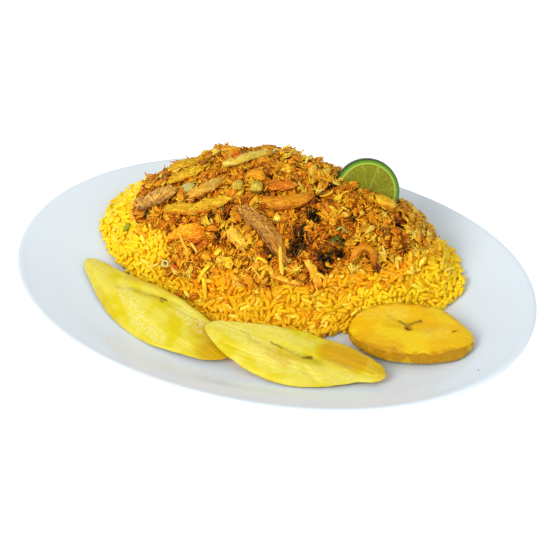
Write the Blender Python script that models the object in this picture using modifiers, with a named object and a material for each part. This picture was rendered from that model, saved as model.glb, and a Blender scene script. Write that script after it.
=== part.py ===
"""Crab rice on its oval plate: a heap of yellow rice under shredded crab, with plantain and lime.

The plate's long axis is X and its foot stands on Z = 0, with the origin under the plate's centre.
The plantain slices lie along the front, which is -Y. All sizes are metres.
"""

import math

import bmesh
import bpy
from mathutils import Matrix, Vector, noise

# ---------------------------------------------------------------- plate
PLATE_LENGTH = 0.350
PLATE_WIDTH = 0.245
PLATE_HEIGHT = 0.022
PLATE_SQUARENESS = 2.07
PLATE_FLOOR = 0.0056
PLATE_WALL = 0.0042
PLATE_FLAT_SHARE = 0.50
LIP_RADIUS = 0.0024
FOOT_INNER = 0.084
FOOT_OUTER = 0.094
FOOT_RECESS = 0.0014
FOOT_ROUNDING = 0.0008
PLATE_THINNEST = 0.0012
PLATE_CLIMB = 1.6
PLATE_STEPS = 48
TOP_RINGS_FROM = 0.46
TOP_RINGS = 8
UNDER_RINGS = (0.92, 0.83, 0.73, 0.63)
LIP_TURNS = (80, 38, -4, -46, -88)

# ---------------------------------------------------------------- heap
HEAP_CENTRE = Vector((-0.0065, 0.0315))
HEAP_HALF_LENGTH = 0.1285
HEAP_HALF_WIDTH = 0.0725
HEAP_SQUARENESS = 1.85
HEAP_HEIGHT = 0.0735
HEAP_FLATNESS = 2.7
HEAP_LOBES = 0.008
HEAP_SEED = 0.8
HEAP_SPREAD = 0.0095
HEAP_SPREAD_FROM = 0.93
HEAP_SPREAD_LEFT = -0.105
HEAP_SPREAD_RIGHT = 0.064
HEAP_RINGS = 12
HEAP_UNDER_RINGS = 3
HEAP_STEPS = 48
RICE_EDGE = 0.0045
RICE_DROP = 0.0015
RICE_LUMP = 0.0022
RICE_LUMP_SIZE = 0.014

TOPPING_CENTRE = Vector((-0.001, 0.0310))
TOPPING_HALF_LENGTH = 0.1030
TOPPING_HALF_WIDTH = 0.0625
TOPPING_TURN = math.radians(8.0)
TOPPING_PROUD = 0.0005
TOPPING_PROUD_RIGHT = 0.0040
TOPPING_EDGE = 0.0045
TOPPING_DEPTH = 0.0180
TOPPING_BAY = math.radians(-146.0)
TOPPING_BAY_SPREAD = 0.20
TOPPING_BAY_DEPTH = 0.13
TOPPING_LOBES = 0.016
TOPPING_SEED = 2.3
TOPPING_LUMP = 0.0035
TOPPING_LUMP_SIZE = 0.020
TOPPING_FINE_LUMP = 0.0016
TOPPING_FINE_SIZE = 0.009
TOPPING_RINGS = 12
TOPPING_UNDER_RINGS = 5
TOPPING_STEPS = 44
COVER_WIDTH = 0.08

# ---------------------------------------------------------------- clearances
GAP = 0.0004
FOOD_GAP = 0.0007
BED_GAP = 0.0015

MM = 0.001


def clear_scene():
    """Removes the objects that a new file starts with."""
    for item in list(bpy.data.objects):
        bpy.data.objects.remove(item)


def collection(name):
    """A new collection under the scene's own."""
    made = bpy.data.collections.new(name)
    bpy.context.scene.collection.children.link(made)
    return made


def material(name, colour, roughness):
    """A plain Principled material."""
    made = bpy.data.materials.new(name)
    made.use_nodes = True
    shader = made.node_tree.nodes["Principled BSDF"]
    shader.inputs["Base Color"].default_value = (*colour, 1.0)
    shader.inputs["Roughness"].default_value = roughness
    return made


def add_object(name, mesh, finish, home):
    """Puts a mesh in a collection as a named object with its material, shaded smooth."""
    made = bpy.data.objects.new(name, mesh)
    home.objects.link(made)
    if finish is not None:
        mesh.materials.append(finish)
    mesh.shade_smooth()
    return made


def move_points(mesh, rule):
    """Moves every point of a mesh by a rule."""
    for vertex in mesh.vertices:
        vertex.co = rule(vertex.co)


def smooth_step(value):
    """0 to 1 with level ends."""
    part = min(max(value, 0.0), 1.0)
    return part * part * (3.0 - 2.0 * part)


def along(values, share):
    """Reads a list of numbers, evenly spaced from 0 to 1, at a share of its length."""
    place = min(max(share, 0.0), 1.0) * (len(values) - 1)
    low = min(int(place), len(values) - 2)
    return values[low] + (values[low + 1] - values[low]) * (place - low)


def curve_point(points, share):
    """A point on a smooth curve through the given points."""
    place = min(max(share, 0.0), 1.0) * (len(points) - 1)
    low = min(int(place), len(points) - 2)
    part = place - low
    before = points[max(low - 1, 0)]
    start = points[low]
    end = points[low + 1]
    after = points[min(low + 2, len(points) - 1)]
    into = (end - before) * 0.5
    out = (after - start) * 0.5
    square = part * part
    cube = square * part
    return (
        start * (2 * cube - 3 * square + 1)
        + into * (cube - 2 * square + part)
        + end * (3 * square - 2 * cube)
        + out * (cube - square)
    )


# ---------------------------------------------------------------- turned forms


def turned_mesh(name, profile, steps, home):
    """Turns a profile, given top to bottom as (radius, height), once round Z."""
    line = bpy.data.meshes.new(name + "_profile")
    edges = [(n, n + 1) for n in range(len(profile) - 1)]
    line.from_pydata([(radius, 0.0, height) for radius, height in profile], edges, [])
    turning = bpy.data.objects.new(name + "_profile", line)
    home.objects.link(turning)
    screw = turning.modifiers.new("turn", "SCREW")
    screw.axis = "Z"
    screw.angle = math.tau
    screw.steps = steps
    screw.render_steps = steps
    screw.use_merge_vertices = True
    screw.merge_threshold = 0.00005
    screw.use_smooth_shade = True
    view = turning.evaluated_get(bpy.context.evaluated_depsgraph_get())
    mesh = bpy.data.meshes.new_from_object(view)
    mesh.name = name
    bpy.data.objects.remove(turning)
    return mesh


def oval_radius(turn):
    """Distance from the plate's centre to its edge, in one direction."""
    power = PLATE_SQUARENESS
    across = abs(math.cos(turn) * 2 / PLATE_LENGTH) ** power
    deep = abs(math.sin(turn) * 2 / PLATE_WIDTH) ** power
    return (across + deep) ** (-1 / power)


def plate_share(x, y):
    """How far out on the plate a point lies: 0 at the centre, 1 at the edge."""
    return math.hypot(x, y) / oval_radius(math.atan2(y, x))


def plate_rise(share):
    """Height of the plate's upper surface at a share of the way out."""
    part = max(share - PLATE_FLAT_SHARE, 0.0) / (1.0 - PLATE_FLAT_SHARE)
    climb = part * part * (PLATE_CLIMB - (PLATE_CLIMB - 1.0) * part)
    return PLATE_FLOOR + (PLATE_HEIGHT - PLATE_FLOOR) * climb


def plate_top(x, y):
    """Height of the plate's upper surface at a point."""
    return plate_rise(plate_share(x, y))


def plate_profile():
    """The plate's section, as it is on the long axis: over the top, round the lip and back under."""
    edge = PLATE_LENGTH / 2
    last_ring = 1.0 - 2.2 * LIP_RADIUS / edge
    points = [(0.0, PLATE_FLOOR)]
    for ring in range(TOP_RINGS + 1):
        share = TOP_RINGS_FROM + (last_ring - TOP_RINGS_FROM) * ring / TOP_RINGS
        points.append((share * edge, plate_rise(share)))
    for degrees in LIP_TURNS:
        turn = math.radians(degrees)
        centre = PLATE_HEIGHT - LIP_RADIUS
        out = edge - LIP_RADIUS + LIP_RADIUS * math.cos(turn)
        points.append((out, centre + LIP_RADIUS * math.sin(turn)))
    for share in UNDER_RINGS:
        points.append((share * edge, max(plate_rise(share) - PLATE_WALL, PLATE_THINNEST)))
    points.append((FOOT_OUTER + FOOT_ROUNDING, FOOT_ROUNDING))
    points.append((FOOT_OUTER, 0.0))
    points.append((FOOT_INNER, 0.0))
    points.append((FOOT_INNER - FOOT_ROUNDING, FOOT_RECESS))
    points.append((0.0, FOOT_RECESS))
    return points


def make_plate(finish, home):
    """The oval plate: a turned plate pressed into an oval that keeps its lip's width."""
    mesh = turned_mesh("plate", plate_profile(), PLATE_STEPS, home)
    edge = PLATE_LENGTH / 2

    def into_oval(point):
        radius = math.hypot(point.x, point.y)
        turn = math.atan2(point.y, point.x)
        inwards = edge - radius
        squeeze = oval_radius(turn) / edge - 1.0
        pull = min(inwards / (12 * LIP_RADIUS), 1.0)
        kept = oval_radius(turn) - inwards
        scaled = radius * (1.0 + squeeze)
        placed = kept + (scaled - kept) * pull
        return Vector((placed * math.cos(turn), placed * math.sin(turn), point.z))

    move_points(mesh, into_oval)
    return add_object("plate", mesh, finish, home)


# ---------------------------------------------------------------- heap surfaces


def lobes(turn, seed, amount):
    """An uneven share round 1 for a heap's outline."""
    wave = math.sin(3 * turn + seed) + 0.7 * math.sin(5 * turn + 2.1 * seed)
    fine = 0.6 * math.sin(11 * turn + 3.7 * seed) + 0.4 * math.sin(17 * turn + seed)
    return 1.0 + amount * (wave + fine)


def heap_share(x, y):
    """How far out in the heap's outline a point lies: 0 at its centre, 1 at its edge."""
    across = (x - HEAP_CENTRE.x) / HEAP_HALF_LENGTH
    deep = (y - HEAP_CENTRE.y) / HEAP_HALF_WIDTH
    plain = (abs(across) ** HEAP_SQUARENESS + abs(deep) ** HEAP_SQUARENESS) ** (1 / HEAP_SQUARENESS)
    return plain / lobes(math.atan2(deep, across), HEAP_SEED, HEAP_LOBES)


def heap_dome(x, y):
    """Height of the whole heap's even dome."""
    share = min(heap_share(x, y), 1.0)
    base = plate_top(x, y) * share + PLATE_FLOOR * (1.0 - share)
    return base + HEAP_HEIGHT * (1.0 - share**HEAP_FLATNESS)


def topping_lobes(turn):
    """The crab's uneven outline, with a bay at the front left where the rice shows."""
    bay = math.exp(-(((turn - TOPPING_BAY) / TOPPING_BAY_SPREAD) ** 2))
    return lobes(turn, TOPPING_SEED, TOPPING_LOBES) - TOPPING_BAY_DEPTH * bay


def topping_share(x, y):
    """How far out in the crab's outline a point lies."""
    east = x - TOPPING_CENTRE.x
    north = y - TOPPING_CENTRE.y
    across = (east * math.cos(TOPPING_TURN) + north * math.sin(TOPPING_TURN)) / TOPPING_HALF_LENGTH
    deep = (north * math.cos(TOPPING_TURN) - east * math.sin(TOPPING_TURN)) / TOPPING_HALF_WIDTH
    return math.hypot(across, deep) / topping_lobes(math.atan2(deep, across))


def unevenness(x, y, size, seed):
    """Smooth lumps between about -1 and 1."""
    return noise.noise(Vector((x / size, y / size, seed)))


def topping_top(x, y):
    """Height of the crab's lumpy outer surface."""
    right = smooth_step((x - 0.03) / 0.05)
    proud = TOPPING_PROUD + TOPPING_PROUD_RIGHT * right
    lumps = TOPPING_LUMP * unevenness(x, y, TOPPING_LUMP_SIZE, 4.0)
    fine = TOPPING_FINE_LUMP * unevenness(x, y, TOPPING_FINE_SIZE, 9.0)
    return heap_dome(x, y) + proud + lumps + fine


def topping_depth(share):
    """Thickness of the crab over the rice."""
    return TOPPING_EDGE + TOPPING_DEPTH * (1.0 - min(share, 1.0) ** 2)


def rice_top(x, y):
    """Height of the rice, which sinks under the crab."""
    share = topping_share(x, y)
    lumps = RICE_LUMP * unevenness(x, y, RICE_LUMP_SIZE, 1.0)
    bare = heap_dome(x, y) - RICE_DROP + lumps
    under = heap_dome(x, y) - topping_depth(share) + TOPPING_EDGE - RICE_DROP + 0.3 * lumps
    cover = smooth_step((1.0 + 0.5 * COVER_WIDTH - share) / COVER_WIDTH)
    return bare + (under - bare) * cover


def heap_spread(x, share, turn):
    """How far the rice's foot slides forward, towards the plantain."""
    along = smooth_step((x - HEAP_SPREAD_LEFT) / 0.07) * smooth_step((HEAP_SPREAD_RIGHT - x) / 0.03)
    outer = smooth_step((share - HEAP_SPREAD_FROM) / (1.0 - HEAP_SPREAD_FROM))
    return HEAP_SPREAD * along * outer * smooth_step(-math.sin(turn) / 0.4)


def mound_profile(top_rings, bottom_rings):
    """A flat stand-in section for a mound: height 1 on top, 0 at the edge, -1 beneath."""
    points = [(math.sin(0.5 * math.pi * n / top_rings), 1.0) for n in range(top_rings)]
    points.append((1.0, 0.0))
    points += [(n / bottom_rings, -1.0) for n in range(bottom_rings - 1, -1, -1)]
    return points


def make_rice(finish, home):
    """The rice: a mound whose underside follows the plate."""
    profile = mound_profile(HEAP_RINGS, HEAP_UNDER_RINGS)
    mesh = turned_mesh("rice_heap", profile, HEAP_STEPS, home)

    def into_heap(point):
        share = math.hypot(point.x, point.y)
        turn = math.atan2(point.y, point.x)
        power = HEAP_SQUARENESS
        flat = (abs(math.cos(turn)) ** power + abs(math.sin(turn)) ** power) ** (-1 / power)
        reach = share * flat * lobes(turn, HEAP_SEED, HEAP_LOBES)
        x = HEAP_CENTRE.x + reach * HEAP_HALF_LENGTH * math.cos(turn)
        y = HEAP_CENTRE.y + reach * HEAP_HALF_WIDTH * math.sin(turn)
        spread_y = y - heap_spread(x, share, turn)
        floor = plate_top(x, spread_y) + FOOD_GAP
        if point.z > 0.5:
            height = max(rice_top(x, y), floor + RICE_EDGE)
        elif point.z < -0.5:
            height = floor
        else:
            height = floor + 0.4 * RICE_EDGE
        return Vector((x, spread_y, height))

    move_points(mesh, into_heap)
    return add_object("rice_heap", mesh, finish, home)


def make_topping(finish, home):
    """The shredded crab: a lumpy layer that lies over the rice."""
    profile = mound_profile(TOPPING_RINGS, TOPPING_UNDER_RINGS)
    mesh = turned_mesh("crab_topping", profile, TOPPING_STEPS, home)

    def into_topping(point):
        share = math.hypot(point.x, point.y)
        turn = math.atan2(point.y, point.x)
        reach = share * topping_lobes(turn)
        across = reach * TOPPING_HALF_LENGTH * math.cos(turn)
        deep = reach * TOPPING_HALF_WIDTH * math.sin(turn)
        x = TOPPING_CENTRE.x + across * math.cos(TOPPING_TURN) - deep * math.sin(TOPPING_TURN)
        y = TOPPING_CENTRE.y + across * math.sin(TOPPING_TURN) + deep * math.cos(TOPPING_TURN)
        bed = rice_top(x, y) + BED_GAP
        if point.z > 0.5:
            height = max(topping_top(x, y), bed + 0.5 * TOPPING_EDGE)
        elif point.z < -0.5:
            height = bed
        else:
            height = bed + 0.3 * TOPPING_EDGE
        return Vector((x, y, height))

    move_points(mesh, into_topping)
    return add_object("crab_topping", mesh, finish, home)


# ---------------------------------------------------------------- long pieces


def frame_at(points, share, up_at):
    """Place, side and up of a path at a share of its length."""
    step = 0.02  # a share of the path's length
    place = curve_point(points, share)
    ahead = curve_point(points, share + step) - curve_point(points, share - step)
    direction = ahead.normalized()
    side = up_at(place).cross(direction).normalized()
    return place, side, direction.cross(side)


def surface_normal(height_at, x, y):
    """Outward direction of a surface given by its height."""
    step = 3 * MM
    slope_x = (height_at(x + step, y) - height_at(x - step, y)) / (2 * step)
    slope_y = (height_at(x, y + step) - height_at(x, y - step)) / (2 * step)
    return Vector((-slope_x, -slope_y, 1.0)).normalized()


def end_rounding(share, bluntness):
    """Size of a long piece's section along it: full in the middle, closing at both ends."""
    return math.sqrt(max(1.0 - abs(2.0 * share - 1.0) ** bluntness, 0.0))


def lengthen(points, grown):
    """Moves the two ends of a path outwards."""
    if not grown:
        return
    first = (points[0] - points[1]).normalized()
    last = (points[-1] - points[-2]).normalized()
    points[0] = points[0] + first * grown
    points[-1] = points[-1] + last * grown


def long_mesh(name, points, up_at, shape):
    """A rounded piece that follows a path. shape's section is the power of its outline: 2 is an oval."""
    build = bmesh.new()
    bmesh.ops.create_uvsphere(
        build, u_segments=shape["segments"], v_segments=shape["rings"], radius=1.0
    )
    section = shape["section"]
    for vertex in build.verts:
        polar = math.acos(min(max(-vertex.co.z, -1.0), 1.0))
        share = polar / math.pi
        place, side, up = frame_at(points, share, up_at)
        turn = math.atan2(vertex.co.y, vertex.co.x)
        across = math.cos(turn)
        high = math.sin(turn)
        squared = (abs(across) ** section + abs(high) ** section) ** (-1 / section)
        full = end_rounding(share, shape["bluntness"]) * squared
        wide = 0.5 * along(shape["widths"], share) * across * full
        tall = 0.5 * along(shape["heights"], share) * high * full
        vertex.co = place + side * wide + up * tall
    mesh = bpy.data.meshes.new(name)
    build.to_mesh(mesh)
    build.free()
    return mesh


# ---------------------------------------------------------------- crab and pepper strips
# Each strip is a path over the heap, with its width and thickness along it and its lift:
# how far its middle stands above the crab's surface. Sizes here are millimetres.
STRIP_RINGS = 8
STRIP_SEGMENTS = 6
STRIP_BLUNTNESS = 5.0
STRIP_SECTION = 2.2
STRIPS = {
    "crab_leg_dark": {
        "path": ((-98, 9), (-81, 6.5), (-67, 8.5)),
        "widths": (9, 12, 13, 11, 6),
        "heights": (6, 8, 9, 8, 5),
        "lift": 3.0,
        "finish": "leg_mauve",
    },
    "crab_strip_upper": {
        "path": ((-77, 15.5), (-70, 17.5), (-62, 20), (-53, 24)),
        "widths": (5, 7, 8, 6),
        "heights": (4, 5, 5, 4),
        "lift": 1.5,
        "finish": "strip_yellow",
    },
    "crab_strip_rear": {
        "path": ((-81, 26.5), (-74, 28.5), (-66, 30.5), (-57.5, 32.5)),
        "widths": (5, 7, 7, 5),
        "heights": (4, 5, 5, 4),
        "lift": 1.5,
        "finish": "strip_yellow",
    },
    "crab_strip_tan": {
        "path": ((-58, 2.5), (-47, 5.5), (-37, 13.5)),
        "widths": (5, 8, 8, 6),
        "heights": (4, 6, 6, 4),
        "lift": 1.8,
        "finish": "strip_tan",
    },
    "crab_strip_long": {
        "path": ((-75, -1), (-63, -2.5), (-49, -4.5), (-37, -1.5), (-24, 1.5)),
        "widths": (6, 7.5, 7.5, 8, 6),
        "heights": (5, 6, 6, 6, 5),
        "lift": 1.8,
        "finish": "strip_yellow",
    },
    "pepper_strip_pale": {
        "path": ((-42, 23.5), (-32, 28.5), (-25, 37), (-13, 50)),
        "widths": (5, 7, 8, 6),
        "heights": (4, 5, 5, 5),
        "lift": 2.2,
        "finish": "strip_pale",
    },
    "crab_chunk_top": {
        "path": ((-48, 42), (-42, 42), (-35, 38)),
        "widths": (8, 11, 10),
        "heights": (6, 9, 7),
        "lift": 1.0,
        "finish": "chunk_orange",
    },
    "crab_chunk_wedge": {
        "path": ((-66, -15), (-56, -14.5), (-47, -15), (-38, -15)),
        "widths": (4, 10, 14, 11),
        "heights": (3, 7, 9, 8),
        "lift": 1.5,
        "finish": "chunk_orange",
    },
    "pepper_strip_red": {
        "path": ((-5, 10.5), (4, 13.5), (13, 17)),
        "widths": (5, 7, 7, 5),
        "heights": (3, 5, 5, 3),
        "lift": 1.2,
        "finish": "strip_red",
    },
    "pepper_strip_curved": {
        "path": ((-6.5, 0.5), (4, 2), (14, 5.5), (25, 14.5)),
        "widths": (6, 10, 10, 6),
        "heights": (5, 8, 8, 5),
        "lift": 2.5,
        "finish": "strip_orange",
    },
    "crab_leg_front": {
        "path": ((-22, -4.5), (-14, -6.5), (-6, -9.5), (1, -12), (7, -14.5), (12, -17.5), (19, -24)),
        "widths": (7, 10, 12, 13, 12, 9, 5),
        "heights": (6, 8, 9, 9, 8, 6, 4),
        "lift": 3.0,
        "finish": "leg_mauve",
    },
    "crab_chunk_pale": {
        "path": ((-23, -14), (-17, -17), (-9, -20.5)),
        "widths": (8, 9, 7),
        "heights": (6, 8, 6),
        "lift": 1.5,
        "finish": "flesh_pale",
    },
    "crab_flake_front": {
        "path": ((29, -17), (35.5, -20), (41, -23)),
        "widths": (4, 6, 5),
        "heights": (3, 4, 3),
        "lift": 2.0,
        "finish": "flesh_pale",
    },
    "crab_claw_small": {
        "path": ((56, -9), (57.5, -4), (62, 0.5), (68, 0.5), (71, -4.5)),
        "widths": (4, 6, 6, 6, 4),
        "heights": (4, 5, 5, 4),
        "lift": 1.5,
        "finish": "strip_orange",
    },
    "crab_lump_lime": {
        "path": ((61, 29), (67.5, 30.5), (74, 31)),
        "widths": (7, 9, 7),
        "heights": (6, 8, 6),
        "lift": 2.5,
        "finish": "strip_yellow",
    },
    "onion_oval": {
        "path": ((-65, 9), (-60, 9.2), (-54.5, 9)),
        "widths": (5, 8, 5),
        "heights": (4, 5, 4),
        "lift": 1.8,
        "finish": "flesh_pale",
    },
    "pepper_cube_left": {
        "path": ((-28, 9.5), (-25, 9.5), (-22, 9.8)),
        "widths": (7, 8, 7),
        "heights": (5, 6, 5),
        "lift": 1.2,
        "finish": "strip_pale",
    },
    "pepper_cube_right": {
        "path": ((-16, 9.5), (-12.5, 10), (-9, 10.6)),
        "widths": (7, 8, 7),
        "heights": (5, 6, 5),
        "lift": 1.2,
        "finish": "strip_pale",
    },
    "onion_strip_pale": {
        "path": ((8, -26), (19, -26.5), (30, -25)),
        "widths": (3, 4, 4, 3),
        "heights": (3, 4, 4, 3),
        "lift": 1.5,
        "finish": "flesh_pale",
    },
}


def strip_mesh(name, strip, grown):
    """One strip over the crab, or with grown above 0 the bed that it lies in."""
    points = []
    for x, y in strip["path"]:
        x *= MM
        y *= MM
        points.append(Vector((x, y, topping_top(x, y) + strip["lift"] * MM)))
    lengthen(points, grown)
    shape = {
        "widths": [size * MM + 2 * grown for size in strip["widths"]],
        "heights": [size * MM + 2 * grown for size in strip["heights"]],
        "rings": STRIP_RINGS,
        "segments": STRIP_SEGMENTS,
        "bluntness": STRIP_BLUNTNESS,
        "section": STRIP_SECTION,
    }

    def up_at(place):
        return surface_normal(heap_dome, place.x, place.y)

    return long_mesh(name, points, up_at, shape)


# ---------------------------------------------------------------- plantain
# Each slice is a path through its middle, with its width, thickness and roll along it.
# Roll lifts the slice's back edge. Sizes are millimetres and degrees.
PLANTAINS = {
    "plantain_left": {
        "path": ((-126, -20, 14), (-101, -39, 15.2), (-72, -57, 16.5), (-37, -67, 15.2), (2, -79, 12.8)),
        "widths": (13, 17, 27, 37, 41, 37, 28),
        "heights": (6, 7, 8, 8, 7, 4.5, 3),
        "rolls": (6, 14, 18, 16, 8, 2, 0),
    },
    "plantain_middle": {
        "path": (
            (-24, -62, 21),
            (-4, -69.5, 20.6),
            (18, -72, 18.8),
            (42, -73, 18),
            (66, -69, 17),
            (82, -67.5, 16.6),
            (98, -72.5, 18),
        ),
        "widths": (14, 25, 36, 42, 32, 22, 22),
        "heights": (5, 6, 7, 8, 8, 7, 6),
        "rolls": (8, 15, 16, 11, 7, 4, 0),
    },
    "plantain_right": {
        "path": (
            (62, -36, 14.8),
            (82, -31.5, 15.8),
            (102, -28.5, 16.8),
            (122, -27, 17.8),
            (142.5, -27, 18.6),
        ),
        "widths": (28, 38, 44, 46, 43, 38, 28),
        "heights": (10, 12, 13, 13, 13, 12, 10),
        "rolls": (2, 3, 4, 4, 3, 2, 0),
    },
}
SLICE_RINGS = 12
SLICE_SEGMENTS = 14
SLICE_BLUNTNESS = 4.0
SLICE_SECTION = 3.0


def rest_on_plate(point):
    """Keeps a point just clear of the plate's upper surface."""
    return Vector((point.x, point.y, max(point.z, plate_top(point.x, point.y) + FOOD_GAP)))


def plantain_mesh(name, slice_sizes, grown):
    """One long slice of plantain, or with grown above 0 the room that it takes in the rice."""
    points = [Vector(point) * MM for point in slice_sizes["path"]]
    lengthen(points, grown)
    shape = {
        "widths": [size * MM + 2 * grown for size in slice_sizes["widths"]],
        "heights": [size * MM + 2 * grown for size in slice_sizes["heights"]],
        "rings": SLICE_RINGS,
        "segments": SLICE_SEGMENTS,
        "bluntness": SLICE_BLUNTNESS,
        "section": SLICE_SECTION,
    }
    start = points[0].x
    length = points[-1].x - start

    def up_at(place):
        roll = math.radians(along(slice_sizes["rolls"], (place.x - start) / length))
        return Vector((0.0, -math.sin(roll), math.cos(roll)))

    mesh = long_mesh(name, points, up_at, shape)
    if not grown:
        move_points(mesh, rest_on_plate)
    return mesh


# ---------------------------------------------------------------- lime
LIME_CENTRE = Vector((0.0518, 0.0426, 0.0668))
LIME_RADIUS = 0.0216
LIME_THICKNESS = 0.0110
LIME_FACING = 20.0
LIME_LEAN = 34.0
LIME_STEPS = 28
RIND_TURN = 66.0
RIND_RINGS = 5
RIND_BULGE = 0.12
FLESH_RING = 0.55


def lime_turn():
    """Turns the slice's axis from +Z to the way that its cut face looks."""
    lean = Matrix.Rotation(math.radians(90.0 - LIME_LEAN), 4, "X")
    facing = Matrix.Rotation(math.radians(LIME_FACING), 4, "Z")
    return Matrix.Translation(LIME_CENTRE) @ facing @ lean


def lime_mesh(name, grown, home):
    """A thick round slice of lime with a bulging rind."""
    half = LIME_THICKNESS / 2 + grown
    radius = LIME_RADIUS + grown
    rind = math.radians(RIND_TURN)
    profile = [(0.0, half), (radius * FLESH_RING, half)]
    for step in range(RIND_RINGS):
        turn = rind * (1.0 - 2.0 * step / (RIND_RINGS - 1))
        bulge = 1.0 - RIND_BULGE * (1.0 - math.cos(turn))
        profile.append((radius * bulge, half * math.sin(turn) / math.sin(rind)))
    profile += [(radius * FLESH_RING, -half), (0.0, -half)]
    mesh = turned_mesh(name, profile, LIME_STEPS, home)
    mesh.transform(lime_turn())
    return mesh


# ---------------------------------------------------------------- beds and assembly


def cut_bed(food, mesh, cutters):
    """Cuts the room for one piece out of the food under it."""
    cutter = add_object(mesh.name, mesh, None, cutters)
    cutter.hide_render = True
    cutter.display_type = "WIRE"
    cut = food.modifiers.new(mesh.name, "BOOLEAN")
    cut.operation = "DIFFERENCE"
    cut.solver = "EXACT"
    cut.object = cutter


def main():
    """Builds the plate and all that lies on it."""
    clear_scene()
    parts = collection("crab_rice")
    cutters = collection("cutters")
    colours = {
        "leg_mauve": (0.42, 0.25, 0.16),
        "strip_yellow": (0.85, 0.52, 0.06),
        "strip_tan": (0.72, 0.42, 0.08),
        "strip_pale": (0.85, 0.62, 0.16),
        "strip_red": (0.75, 0.20, 0.03),
        "strip_orange": (0.86, 0.38, 0.03),
        "chunk_orange": (0.88, 0.40, 0.04),
        "flesh_pale": (0.86, 0.64, 0.24),
    }
    finishes = {name: material(name, colour, 0.45) for name, colour in colours.items()}
    plantain_yellow = material("plantain_yellow", (0.86, 0.70, 0.09), 0.35)

    make_plate(material("plate_white", (0.86, 0.88, 0.89), 0.12), parts)
    rice = make_rice(material("rice_yellow", (0.93, 0.62, 0.03), 0.5), parts)
    topping = make_topping(material("crab_orange", (0.78, 0.33, 0.03), 0.5), parts)

    for name, strip in STRIPS.items():
        add_object(name, strip_mesh(name, strip, 0.0), finishes[strip["finish"]], parts)
        cut_bed(topping, strip_mesh("bed_" + name, strip, FOOD_GAP), cutters)
    for name, sizes in PLANTAINS.items():
        add_object(name, plantain_mesh(name, sizes, 0.0), plantain_yellow, parts)
        cut_bed(rice, plantain_mesh("bed_" + name, sizes, FOOD_GAP), cutters)

    lime_green = material("lime_green", (0.30, 0.38, 0.03), 0.3)
    add_object("lime_slice", lime_mesh("lime_slice", 0.0, parts), lime_green, parts)
    cut_bed(topping, lime_mesh("bed_lime_topping", GAP, cutters), cutters)
    cut_bed(rice, lime_mesh("bed_lime_rice", GAP, cutters), cutters)


if __name__ == "__main__":
    main()
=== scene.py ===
"""The looks of a plate of crab rice: a glazed oval plate, loose rice, shredded crab, plantain and lime.

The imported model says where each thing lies, and every class here makes one kind of food over it.
Sizes are metres, tables are millimetres, and a colour with parts above 1 is as a screen shows it, 0 to 255.
+Z is up, and the plantain slices lie along the front, which is -Y.
"""

import logging
import math
from collections.abc import Iterable, Iterator, Sequence
from contextlib import contextmanager
from dataclasses import dataclass, field
from enum import Enum

import bpy
import numpy as np
from mathutils import Matrix, Vector, noise
from mathutils.bvhtree import BVHTree
from mathutils.kdtree import KDTree


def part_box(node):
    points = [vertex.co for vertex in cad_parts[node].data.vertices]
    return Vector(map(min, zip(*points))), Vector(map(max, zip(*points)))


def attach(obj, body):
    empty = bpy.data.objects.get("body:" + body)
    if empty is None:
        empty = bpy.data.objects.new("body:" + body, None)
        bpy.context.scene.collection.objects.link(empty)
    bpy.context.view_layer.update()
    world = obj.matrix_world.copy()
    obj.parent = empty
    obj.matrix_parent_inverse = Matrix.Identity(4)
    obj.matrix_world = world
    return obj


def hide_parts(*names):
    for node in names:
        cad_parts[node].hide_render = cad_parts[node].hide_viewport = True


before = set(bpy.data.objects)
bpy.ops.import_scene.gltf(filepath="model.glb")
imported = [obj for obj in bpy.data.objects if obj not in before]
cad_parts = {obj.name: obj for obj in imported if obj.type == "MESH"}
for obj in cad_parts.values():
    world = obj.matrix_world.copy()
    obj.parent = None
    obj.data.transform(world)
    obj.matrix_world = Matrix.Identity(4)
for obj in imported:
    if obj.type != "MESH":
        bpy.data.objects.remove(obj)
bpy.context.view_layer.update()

MM = 0.001
LOG = logging.getLogger("crab_rice")

Colour = tuple[float, float, float]
Rows = np.ndarray
Dice = np.random.Generator
Piece = bpy.types.Object
Material = bpy.types.Material
Socket = bpy.types.NodeSocket
Stations = Sequence[tuple[float, float, float]]
Inputs = dict[str | int, object]


class Slot(Enum):
    """The record's material slots."""

    PLATE = "plate_glaze"
    RICE = "rice_yellow"
    CRAB = "crab_orange"
    LEG = "leg_mauve"
    STRIP_YELLOW = "strip_yellow"
    STRIP_TAN = "strip_tan"
    STRIP_PALE = "strip_pale"
    STRIP_RED = "strip_red"
    STRIP_ORANGE = "strip_orange"
    CHUNK = "chunk_orange"
    FLESH = "flesh_pale"
    PLANTAIN = "plantain_yellow"
    LIME = "lime_green"


# ---- numbers and colours


def light_of(colour: Colour) -> Colour:
    """Turns a colour as a screen shows it into light.

    Args:
        colour: Red, green and blue, 0 to 255. A colour with no part above 1 is light already.

    Returns:
        The linear colour, 0 to 1.
    """
    if max(colour) <= 1.0:
        return colour
    shares = [part / 255 for part in colour]
    return tuple(s / 12.92 if s <= 0.04045 else ((s + 0.055) / 1.055) ** 2.4 for s in shares)


def smooth_step(value: Rows, low: float, high: float) -> Rows:
    """Goes from 0 at low to 1 at high, with level ends."""
    part = np.clip((np.asarray(value, float) - low) / (high - low), 0.0, 1.0)
    return part * part * (3.0 - 2.0 * part)


def shifted(points: Rows, size: float, seed: float) -> Iterator[Vector]:
    """The places at which a pattern with lumps of this size and this seed is read."""
    shift = Vector((seed, 3.1 * seed, -1.7 * seed))
    return (Vector(point) + shift for point in points / size)


def lumps(points: Rows, size: float, seed: float) -> Rows:
    """Smooth noise with lumps of this size, about -1 to 1, one number for each row."""
    return np.array([noise.noise(place) for place in shifted(points, size, seed)])


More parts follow.
